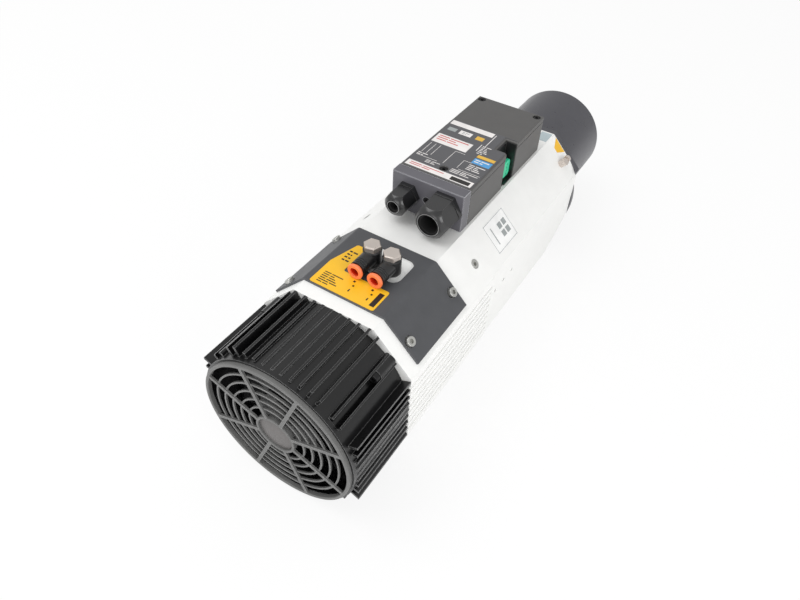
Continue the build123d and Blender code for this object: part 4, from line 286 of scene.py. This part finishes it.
# ground and blackened nose: dark grey metal, drawn-out reflections round the axis
NOSE_STEEL = Finish("blackened_ground_steel", "#55555a", 0.3, 0.5,
                    grain=Grain(0.3 * MM, 0.004 * MM, Space.ROUND_AXIS),
                    wear_and_highlight=WearAndHighlight(0.3, 0.4 * MM, "#8a8a8e", 0.04))
# nickel-plated brass: pale warm metal, plain bright faces
NICKEL = Finish("nickel_plated_brass", "#d9cfc7", 0.3, 0.85,
                grain=Grain(0.8 * MM, 0.004 * MM), wear_and_highlight=WearAndHighlight(mottle=0.04))
# zinc-plated screws: dull silver with soft glints
ZINC = Finish("zinc_plated_steel", "#c4c4c0", 0.36, 0.9, grain=Grain(0.6 * MM, 0.004 * MM))
# black-oxide screws: near black with faint metal glints
BLACK_STEEL = Finish("black_oxide_steel", "#242425", 0.4, 0.6, grain=Grain(0.4 * MM, 0.006 * MM))
# ground steel: bright, with fine rings from the grinding wheel
GROUND_STEEL = Finish("ground_steel", "#b9b9ba", 0.25, 1.0,
                      grain=Grain(0.12 * MM, 0.002 * MM, Space.ROUND_AXIS))
# turned aluminium: silver with visible tool rings
TURNED_ALUMINIUM = Finish("turned_aluminium", "#c8c8c8", 0.33, 1.0,
                          grain=Grain(0.25 * MM, 0.004 * MM, Space.ROUND_AXIS))
# stacked laminations: grey metal with the close lines of the sheets
LAMINATIONS = Finish("stacked_sheet_steel", "#5d5d60", 0.45, 0.9,
                     grain=Grain(0.5 * MM, 0.03 * MM, Space.ROUND_AXIS))
# varnished windings: reddish copper under a clear coat, ridged by the wires
VARNISHED_COPPER = Finish("varnished_copper", "#a4552b", 0.35, 0.7, 0.4,
                          grain=Grain(0.8 * MM, 0.12 * MM))
# moulded rubber: flat black, no glints
RUBBER = Finish("moulded_black_rubber", "#121212", 0.75, grain=Grain(0.5 * MM, 0.02 * MM))
# acetal release rings: light orange, smooth and slightly glossy
ORANGE_COLLET = Finish("moulded_orange_acetal", "#ff8350", 0.34,
                       grain=Grain(0.6 * MM, 0.004 * MM))
# a dark red sleeve inside each collet: painted shade in the collet's mouth
COLLET_RED = Finish("collet_mouth_painted_shade", "#d8300c", 0.35, grain=Grain(0.6 * MM, 0.004 * MM))
# moulded connector: clear green, with a painted highlight on its round edges
GREEN_PLUG = Finish("moulded_green_nylon", "#35cf9c", 0.36, grain=Grain(0.6 * MM, 0.006 * MM),
                    wear_and_highlight=WearAndHighlight(0.3, 0.5 * MM, "#a5f0d6", 0.04))
# moulded terminal strip: plain ivory
PALE_PLASTIC = Finish("moulded_ivory_polyamide", "#d6d2c4", 0.45,
                      grain=Grain(0.5 * MM, 0.01 * MM))
# yellow vinyl: flat saturated yellow with a light sheen
YELLOW_FILM = Finish("calendered_yellow_vinyl", "#f4bd24", 0.32,
                     grain=Grain(2 * MM, 0.008 * MM), wear_and_highlight=WearAndHighlight(mottle=0.03))
# grey vinyl of the cover: dark ground for the print
GREY_FILM = Finish("calendered_grey_vinyl", "#545457", 0.35,
                   grain=Grain(2 * MM, 0.008 * MM), wear_and_highlight=WearAndHighlight(mottle=0.03))
# screen-printed inks: flat colours, a little less glossy than the film
WHITE_INK = Finish("screen_printed_white", "#eae6e4", 0.4, grain=Grain(1 * MM, 0.002 * MM))
RED_INK = Finish("screen_printed_red", "#cf6a68", 0.4, grain=Grain(1 * MM, 0.002 * MM))
BLUE_INK = Finish("screen_printed_blue", "#4f9ad2", 0.4, grain=Grain(1 * MM, 0.002 * MM))
YELLOW_INK = Finish("screen_printed_yellow", "#dfb245", 0.4, grain=Grain(1 * MM, 0.002 * MM))
BLACK_INK = Finish("screen_printed_black", "#1c1a16", 0.4, grain=Grain(1 * MM, 0.002 * MM))
GREY_INK = Finish("screen_printed_grey", "#9da2a2", 0.4, grain=Grain(1 * MM, 0.002 * MM))
# white vinyl: as pale as the body, told from it by its sheen and thin outline
STICKER = Finish("calendered_white_vinyl", "#f7f7f6", 0.36, grain=Grain(2 * MM, 0.006 * MM))
# pale blue-grey patch on the body's top beside the box: painted shade
PALE_BLUE = Finish("pale_blue_painted_shade", "#b6c4c8", 0.36,
                   grain=Grain(2 * MM, 0.006 * MM))


def dress(finish: Finish, nodes: Iterable[str]) -> None:
    """Give CAD nodes a finish, through their own material slots.

    Args:
        finish: the finish to use.
        nodes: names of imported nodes.
    """
    for name in nodes:
        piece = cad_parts[name]
        for slot in piece.material_slots:
            slot.material = finish.material()
        if not piece.material_slots:
            piece.data.materials.append(finish.material())
        log.info("%s: %s", name, finish.name)


@dataclass(frozen=True)
class Mark:
    """A printed rectangle: middle and size on its sheet in millimetres, and its ink."""

    u: float
    v: float
    width: float
    height: float
    ink: Finish


@dataclass
class PrintedSheet:
    """Marks printed on a flat face.

    place maps the sheet's own u, v and outward axes to the frame.
    """

    name: str
    place: Matrix
    marks: Sequence[Mark]
    host: Host = Host.HOUSING
    lift: float = FILM

    def build(self) -> list[bpy.types.Object]:
        """Add one piece for each ink.

        Returns:
            The pieces.
        """
        made = []
        for ink in dict.fromkeys(mark.ink for mark in self.marks):
            mesh = bmesh.new()
            for mark in self.marks:
                if mark.ink is ink:
                    slab = Matrix.Translation((mark.u * MM, mark.v * MM, self.lift / 2))
                    size = Matrix.Diagonal((mark.width * MM, mark.height * MM, self.lift, 1))
                    bmesh.ops.create_cube(mesh, size=1.0, matrix=self.place @ slab @ size)
            made.append(finished(mesh, f"{self.name}_{ink.name}", ink, self.host))
        return made


def finished(mesh: bmesh.types.BMesh, name: str, finish: Finish, host: Host) -> bpy.types.Object:
    """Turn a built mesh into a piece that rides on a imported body.

    Args:
        mesh: the geometry, freed afterwards.
        name: name of the piece.
        finish: its finish.
        host: the body it moves with.

    Returns:
        The new object.
    """
    data = bpy.data.meshes.new(name)
    mesh.to_mesh(data)
    mesh.free()
    piece = bpy.data.objects.new(name, data)
    bpy.context.scene.collection.objects.link(piece)
    data.materials.append(finish.material())
    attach(piece, host.value)
    log.info("added %s", name)
    return piece


def lathed(profile: Sequence[tuple[float, float]], middle: tuple[float, float],
           segments: int) -> bmesh.types.BMesh:
    """Turn a closed profile round a line that runs along Y.

    Args:
        profile: radius and y of each corner, metres, in order round the section.
        middle: x and z of the line, metres.
        segments: number of steps round the line.

    Returns:
        The mesh.
    """
    mesh = bmesh.new()
    rings = []
    for index in range(segments):
        turn = 2 * math.pi * index / segments
        rings.append([mesh.verts.new((middle[0] + r * math.cos(turn), y,
                                      middle[1] + r * math.sin(turn))) for r, y in profile])
    for index, ring in enumerate(rings):
        following = rings[(index + 1) % segments]
        for step in range(len(profile)):
            after = (step + 1) % len(profile)
            mesh.faces.new((ring[step], ring[after], following[after], following[step]))
    bmesh.ops.recalc_face_normals(mesh, faces=mesh.faces)
    return mesh


def sheet_on_top(x: float, y: float, z: float) -> Matrix:
    """Place of a sheet that lies flat: u along +X, v along +Y.

    Args:
        x: sheet origin, metres.
        y: sheet origin, metres.
        z: height of the face, metres.

    Returns:
        The sheet's matrix.
    """
    return Matrix.Translation((x, y, z))


def sheet_on_bevel(y: float, rise: float) -> Matrix:
    """Place of a sheet on the body's right upper bevel: u along +Y, v up the slope.

    Args:
        y: sheet origin along the body, metres.
        rise: height of the face above the bare bevel, metres.

    Returns:
        The sheet's matrix.
    """
    normal = Vector((1, 0, 1)).normalized()
    along = Vector((0, 1, 0))
    upward = Vector((-1, 0, 1)).normalized()
    origin = Vector((BEVEL_OFFSET, y, AXIS_HEIGHT + BEVEL_OFFSET)) + normal * rise
    place = Matrix((along, upward, normal)).transposed().to_4x4()
    return Matrix.Translation(origin) @ place


def film_patch(name: str, place: Matrix, corners: Sequence[tuple[float, float]],
               finish: Finish, lift: float = FILM) -> bpy.types.Object:
    """Add a flat sticker of any outline to the body.

    Args:
        name: name of the piece.
        place: matrix of the sheet that it lies on.
        corners: outline on the sheet, millimetres, anticlockwise.
        finish: its finish.
        lift: its thickness, metres.

    Returns:
        The new object.
    """
    mesh = bmesh.new()
    low = [mesh.verts.new(place @ Vector((u * MM, v * MM, 0))) for u, v in corners]
    high = [mesh.verts.new(place @ Vector((u * MM, v * MM, lift))) for u, v in corners]
    mesh.faces.new(high)
    mesh.faces.new(low[::-1])
    for step in range(len(corners)):
        after = (step + 1) % len(corners)
        mesh.faces.new((low[step], low[after], high[after], high[step]))
    return finished(mesh, name, finish, Host.HOUSING)


def text_bars(u: float, v: float, width: float, rows: int, pitch: float,
              ink: Finish) -> list[Mark]:
    """Rows of plain short bars, as stand-ins for lines of print.

    Args:
        u: left edge, millimetres.
        v: middle of the first row, millimetres.
        width: full width of a row, millimetres.
        rows: number of rows.
        pitch: distance between rows, millimetres; negative goes down the sheet.
        ink: the ink.

    Returns:
        The marks.
    """
    gap = 1.0
    thick = abs(pitch) * 0.42
    marks = []
    for row in range(rows):
        share = 1.0 - 0.13 * ((row * 7) % 4)      # rows end at four different lengths
        split = 0.35 + 0.1 * ((row * 5) % 3)      # and break at three different places
        first = width * share * split
        second = width * share * (1 - split) - gap
        marks.append(Mark(u + first / 2, v + row * pitch, first, thick, ink))
        marks.append(Mark(u + first + gap + second / 2, v + row * pitch, second, thick, ink))
    return marks


@dataclass
class Housing:
    """Body extrusion, its bevel screws and its stickers.

    Stations are metres along the body; the sticker's own sizes are millimetres.
    """

    sticker_station: float = 12.5 * MM
    patch_station: float = 166 * MM
    width: float = 39.0
    height: float = 31.0
    outline: float = 0.45
    margin: float = 1.0
    block: float = 6.0

    def build(self) -> None:
        """Dress the body and add its sticker and patches."""
        dress(SATIN_BODY, ["body_housing"])
        dress(ZINC, ["bevel_screws"])
        sticker = [Mark(0, 0, self.width, self.height, STICKER)]
        PrintedSheet("bevel_sticker", sheet_on_bevel(self.sticker_station, 0.0), sticker).build()
        over = sheet_on_bevel(self.sticker_station, FILM)
        PrintedSheet("bevel_sticker_marks", over, self.sticker_print()).build()
        corners = [(-6.5, 9.0), (6.3, 3.0), (6.3, 21.5), (-6.5, 15.0)]
        film_patch("front_patch", sheet_on_bevel(self.patch_station, 0.0), corners, YELLOW_FILM)
        # painted shade on the body's top next to the box
        pale = [Mark(32, 162, 12, 18, PALE_BLUE)]
        PrintedSheet("top_painted_shade", sheet_on_top(0, 0, BODY_TOP), pale).build()

    def sticker_print(self) -> list[Mark]:
        """Outline, one bar and four blocks of the sticker.

        Returns:
            The marks.
        """
        side, end = self.width / 2 - self.margin, self.height / 2 - self.margin
        long, short = self.width - self.margin, self.height - self.margin
        lines = [
            Mark(0, end, long, self.outline, GREY_INK),
            Mark(0, -end, long, self.outline, GREY_INK),
            Mark(side, 0, self.outline, short, GREY_INK),
            Mark(-side, 0, self.outline, short, GREY_INK),
            Mark(-11, 0, 1.2, 18, GREY_INK),
        ]
        return lines + [Mark(u, v, self.block, self.block, GREY_INK)
                        for u in (3, 11) for v in (4.2, -4.2)]


@dataclass
class FanCowl:
    """Finned cowl with the guard, and the fan behind it."""

    def build(self) -> None:
        """Dress the cowl group."""
        dress(BLACK_COWL, ["cooling_cowl"])
        dress(BLACK_STEEL, ["cowl_screws", "fan_mount", "fan_motor"])
        dress(GREY_GUARD, ["fan_guard"])
        dress(HUB_GREY, ["guard_hub"])
        dress(BLACK_PLASTIC, ["fan_rotor"])


@dataclass
class PortPlate:
    """Sheet over the body's rear with the push-in elbows and the yellow label."""

    lining_radius: float = 4.08 * MM
    lining_wall: float = 0.25 * MM
    lining_start: float = 1.0 * MM
    lining_lead: float = 0.2 * MM
    lining_bevel: float = 0.6 * MM
    lining_depth: float = 9 * MM
    segments: int = 48

    def build(self) -> None:
        """Dress the plate group, line the collets and print the label."""
        dress(PLATE_PAINT, ["port_plate"])
        dress(YELLOW_FILM, ["port_label"])
        dress(TURNED_ALUMINIUM, ["port_washers"])
        dress(NICKEL, ["banjo_screws"])
        dress(BLACK_PLASTIC, ["elbow_left", "elbow_right"])
        dress(ORANGE_COLLET, ["collet_left", "collet_right"])
        self.lining("collet_left", Host.COLLET_A)
        self.lining("collet_right", Host.COLLET_B)
        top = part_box("port_label")[1][2]
        place = sheet_on_top(0, BODY_REAR, top)
        PrintedSheet("port_print", place, self.print_marks()).build()

    def lining(self, collet: str, host: Host) -> None:
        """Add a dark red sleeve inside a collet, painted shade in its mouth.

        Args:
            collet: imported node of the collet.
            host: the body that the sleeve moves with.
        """
        low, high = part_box(collet)
        middle = ((low[0] + high[0]) / 2, (low[2] + high[2]) / 2)
        outer, inner = self.lining_radius, self.lining_radius - self.lining_wall
        start, end = low[1] + self.lining_start, low[1] + self.lining_depth
        profile = [(inner + 0.15 * MM, start), (outer, start + self.lining_lead), (outer, end),
                   (inner, end), (inner, start + self.lining_bevel)]
        mesh = lathed(profile, middle, self.segments)
        # the dark red sleeve is painted shade inside the collet
        finished(mesh, f"{collet}_lining", COLLET_RED, host)

    def print_marks(self) -> list[Mark]:
        """Plain bars and dots of the yellow label; stations from the body's rear face.

        Returns:
            The marks.
        """
        marks = []
        for x in (-2.5, 15.3):
            marks += [Mark(x, 33.4, 2.0, 2.0, BLACK_INK),
                      Mark(x + 2.2, 28.6, 1.7, 1.7, BLACK_INK),
                      Mark(x + 2.0, 22.5, 1.1, 3.0, BLACK_INK)]
        marks.append(Mark(24.3, 26.0, 4.6, 16.5, BLACK_INK))
        marks += text_bars(-29.5, 30.0, 18, 6, -2.4, BLACK_INK)
        marks += text_bars(-27.5, 62.0, 8, 4, -4.0, BLACK_INK)
        return marks


@dataclass(frozen=True)
class GlandMouth:
    """Pale ring on a gland nut's rear face, round its opening: a painted highlight on the nut's
    lip.

    x is the gland's offset, length the gland's, radius the middle of the lip, all in metres.
    """

    name: str
    x: float
    length: float
    radius: float
    wall: float = 0.5 * MM
    proud: float = 0.15 * MM
    segments: int = 64

    def build(self) -> None:
        """Add the lip."""
        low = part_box("gland_nuts")[0]
        end_cap_rear = low[1] + LONGEST_GLAND
        rear = end_cap_rear - self.length
        half = self.wall / 2
        profile = [(self.radius - half, rear), (self.radius - half / 2, rear - self.proud),
                   (self.radius + half / 2, rear - self.proud), (self.radius + half, rear),
                   (self.radius, rear + self.proud)]
        mesh = lathed(profile, (self.x, BODY_TOP + GLAND_RISE), self.segments)
        # the pale ring is a painted highlight on the lip
        finished(mesh, self.name, NYLON_LIP_HIGHLIGHT, Host.HOUSING)


@dataclass
class TerminalBox:
    """Terminal box with its end cap, glands, connector and printed cover.

    Stations are millimetres from the body's rear face.
    """

    line: float = 0.5
    band_station: float = 159.4
    front_band_station: float = 243.4
    mouths: tuple[GlandMouth, ...] = (
        GlandMouth("small_gland_mouth", -19.5 * MM, 25.0 * MM, 6.0 * MM),
        GlandMouth("large_gland_mouth", 18.8 * MM, LONGEST_GLAND, 10.6 * MM))

    def build(self) -> None:
        """Dress the box group and print the cover's label."""
        dress(BOX_PAINT, ["terminal_box", "box_cover"])
        dress(CAP_PAINT, ["gland_end_cap"])
        dress(BLACK_STEEL, ["box_screws"])
        dress(RUBBER, ["box_gasket", "gland_seals"])
        dress(GLAND_NYLON, ["gland_bodies", "gland_nuts"])
        for mouth in self.mouths:
            mouth.build()
        dress(PALE_PLASTIC, ["terminal_block"])
        dress(BLACK_PLASTIC, ["signal_socket"])
        dress(GREEN_PLUG, ["signal_plug"])
        dress(GREY_FILM, ["box_label"])
        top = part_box("box_label")[1][2]
        place = sheet_on_top(0, BODY_REAR, top)
        PrintedSheet("cover_print", place, self.panels() + self.diagram()).build()
        over = sheet_on_top(0, BODY_REAR, top + FILM)
        PrintedSheet("cover_print_over", over, self.captions()).build()

    def panels(self) -> list[Mark]:
        """Solid panels of the label.

        Returns:
            The marks.
        """
        return [
            Mark(0, self.band_station, 67, 8.4, WHITE_INK),
            Mark(-15, 210, 37, 16, WHITE_INK),
            Mark(-11, self.front_band_station, 46, 7.6, WHITE_INK),
            Mark(-12, 231, 13, 7, WHITE_INK),
            Mark(3.5, 231, 8, 6.5, YELLOW_INK),
            Mark(24.5, 203.5, 18, 4.6, YELLOW_INK),
            Mark(24.5, 195, 18, 9.0, BLUE_INK),
            Mark(-26.5, 231, 9, 6, GREY_INK),
        ]

    def diagram(self) -> list[Mark]:
        """Thin lines and rows of bars of the label.

        Returns:
            The marks.
        """
        thin = self.line
        lines = [Mark(x, 190, thin, 19, WHITE_INK) for x in (-31, -26, -21)]
        lines += [Mark(x, 191, thin * 3, thin, WHITE_INK) for x in (-31, -26, -21)]
        lines += [
            Mark(-5, 187, thin, 24, WHITE_INK), Mark(0, 199, 10, thin, WHITE_INK),
            Mark(9, 183, thin, 14, WHITE_INK), Mark(13, 190, 8, thin, WHITE_INK),
            Mark(-22, 174.5, 22, thin, WHITE_INK), Mark(22, 174.5, 22, thin, WHITE_INK),
            Mark(14, 232, 0.8, 27, WHITE_INK), Mark(10, 217, 0.8, 12, WHITE_INK),
        ]
        lines += text_bars(-33, 178.5, 10, 2, -2.6, WHITE_INK)
        lines += text_bars(-20, 171.5, 14, 3, -1.8, WHITE_INK)
        lines += text_bars(6, 172, 26, 3, -2.2, WHITE_INK)
        lines += text_bars(16, 187, 16, 4, -2.6, WHITE_INK)
        lines += text_bars(12, 221, 9, 6, -2.6, WHITE_INK)
        return lines

    def captions(self) -> list[Mark]:
        """Rows of bars printed over the panels.

        Returns:
            The marks.
        """
        rows = text_bars(-30, self.band_station + 1.4, 34, 2, -2.6, RED_INK)
        rows += [Mark(21.5, self.band_station - 0.3, 19, 5.4, BLACK_INK)]
        rows += text_bars(-31, 215, 31, 3, -3.4, RED_INK)
        rows += text_bars(17, 197, 14, 2, -3.2, WHITE_INK)
        rows += text_bars(-15.5, 232, 7, 2, -2.2, GREY_INK)
        return rows


@dataclass
class Nose:
    """Nose housing, its cap, the shaft's end and the fitting beside it."""

    def build(self) -> None:
        """Dress the nose group."""
        dress(NOSE_STEEL, ["nose_housing", "nose_cap"])
        dress(BLACK_STEEL, ["flange_screws", "nose_cap_screws", "drive_keys", "key_screws"])
        dress(GROUND_STEEL, ["spindle_shaft"])
        dress(NICKEL, ["purge_fitting", "purge_cap"])


@dataclass
class Internals:
    """Everything inside the body: motor, bearings, drawbar and release unit."""

    def build(self) -> None:
        """Dress the inner pieces."""
        dress(GROUND_STEEL, ["bearing_outer_rings", "bearing_inner_rings", "bearing_balls",
                             "bearing_spacer", "shaft_sleeves", "drawbar", "tool_gripper",
                             "speed_ring"])
        dress(LAMINATIONS, ["stator_core", "rotor_core"])
        dress(VARNISHED_COPPER, ["stator_windings"])
        dress(BLACK_STEEL, ["disc_springs_front", "disc_springs_rear", "drawbar_nut",
                            "shaft_lock_nut", "retaining_ring"])
        dress(TURNED_ALUMINIUM, ["rear_bearing_housing", "release_cylinder", "release_piston",
                                 "cylinder_cover"])
        dress(RUBBER, ["piston_seal"])
        dress(BLACK_PLASTIC, ["speed_sensor"])


@dataclass
class Studio:
    """Pale floor, soft lamps and the camera; roll in degrees, lens in millimetres."""

    camera_at: Vector = field(default_factory=lambda: Vector((225.46, -449.61, 519.36)) * MM)
    aim: Vector = field(default_factory=lambda: Vector((0.0, -70.21, 74.83)) * MM)
    roll: float = 2.822
    lens: float = 29.394
    lamp_target: Vector = field(default_factory=lambda: Vector((0, 0, 0.08)))
    floor_reach: float = 12.0
    floor_glow: float = 0.85
    surroundings: float = 0.66

    def build(self) -> None:
        """Add floor, light and camera."""
        self.floor()
        self.light()
        self.camera()

    def floor(self) -> None:
        """Pale floor that the mounting face stands on."""
        mesh = bmesh.new()
        bmesh.ops.create_grid(mesh, x_segments=1, y_segments=1, size=self.floor_reach)
        data = bpy.data.meshes.new("floor")
        mesh.to_mesh(data)
        mesh.free()
        floor = bpy.data.objects.new("floor", data)
        bpy.context.scene.collection.objects.link(floor)
        material = bpy.data.materials.new("studio_floor")
        material.use_nodes = True
        tree = material.node_tree
        tree.nodes.clear()
        matt = add_node(tree, "ShaderNodeBsdfDiffuse", None, {"Color": linear("#f7f7f7")})
        glow = add_node(tree, "ShaderNodeEmission", None, {"Strength": 1.0})
        ray = add_node(tree, "ShaderNodeLightPath").outputs["Is Camera Ray"]
        share = add_node(tree, "ShaderNodeMath", {"operation": "MULTIPLY"},
                         {0: ray, 1: self.floor_glow})
        mixed = add_node(tree, "ShaderNodeMixShader", None,
                         {0: share.outputs[0], 1: matt.outputs[0], 2: glow.outputs[0]})
        add_node(tree, "ShaderNodeOutputMaterial", None, {"Surface": mixed.outputs[0]})
        data.materials.append(material)

    def light(self) -> None:
        """Even white surroundings and three large soft lamps."""
        world = bpy.data.worlds.new("studio")
        world.use_nodes = True
        tree = world.node_tree
        tree.nodes.clear()
        ray = add_node(tree, "ShaderNodeLightPath").outputs["Is Camera Ray"]
        strength = add_node(tree, "ShaderNodeMapRange", None, {
            "Value": ray, "To Min": self.surroundings, "To Max": 1.0})
        background = add_node(tree, "ShaderNodeBackground", None, {
            "Color": linear("#ffffff"), "Strength": strength.outputs[0]})
        add_node(tree, "ShaderNodeOutputWorld", None, {"Surface": background.outputs[0]})
        bpy.context.scene.world = world
        self.lamp("key", (-0.9, -0.6, 1.9), 1.4, 16)
        self.lamp("fill", (1.6, -0.9, 0.9), 1.0, 11)
        self.lamp("rear", (0.2, -2.0, 0.7), 1.2, 9)

    def lamp(self, name: str, place: Sequence[float], size: float, power: float) -> None:
        """Add a square soft lamp that faces the object.

        Args:
            name: lamp name.
            place: where it hangs, metres.
            size: side length, metres.
            power: watts.
        """
        data = bpy.data.lights.new(name, "AREA")
        data.shape = "SQUARE"
        data.size = size
        data.energy = power
        lamp = bpy.data.objects.new(name, data)
        lamp.location = place
        aim = self.lamp_target - Vector(place)
        lamp.rotation_euler = aim.to_track_quat("-Z", "Y").to_euler()
        bpy.context.scene.collection.objects.link(lamp)

    def camera(self) -> None:
        """Set the camera at the viewing angle."""
        data = bpy.data.cameras.new("camera")
        data.sensor_fit = "HORIZONTAL"
        data.sensor_width = 36.0
        data.lens = self.lens
        data.clip_start = 0.01
        camera = bpy.data.objects.new("camera", data)
        back = (self.camera_at - self.aim).normalized()
        right = Vector((0, 0, 1)).cross(back).normalized()
        up = back.cross(right)
        turn = math.radians(self.roll)
        side = right * math.cos(turn) + up * math.sin(turn)
        over = up * math.cos(turn) - right * math.sin(turn)
        facing = Matrix((side, over, back)).transposed().to_4x4()
        camera.matrix_world = Matrix.Translation(self.camera_at) @ facing
        bpy.context.scene.collection.objects.link(camera)
        bpy.context.scene.camera = camera


def main() -> None:
    """Dress the model and add the studio."""
    logging.basicConfig(level=logging.INFO, format="%(name)s: %(message)s")
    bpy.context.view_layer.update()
    for group in (Housing(), FanCowl(), PortPlate(), TerminalBox(), Nose(), Internals()):
        log.info("building %s", type(group).__name__)
        group.build()
    Studio().build()
    bpy.context.scene.view_settings.view_transform = "Standard"


if __name__ == "__main__":
    main()
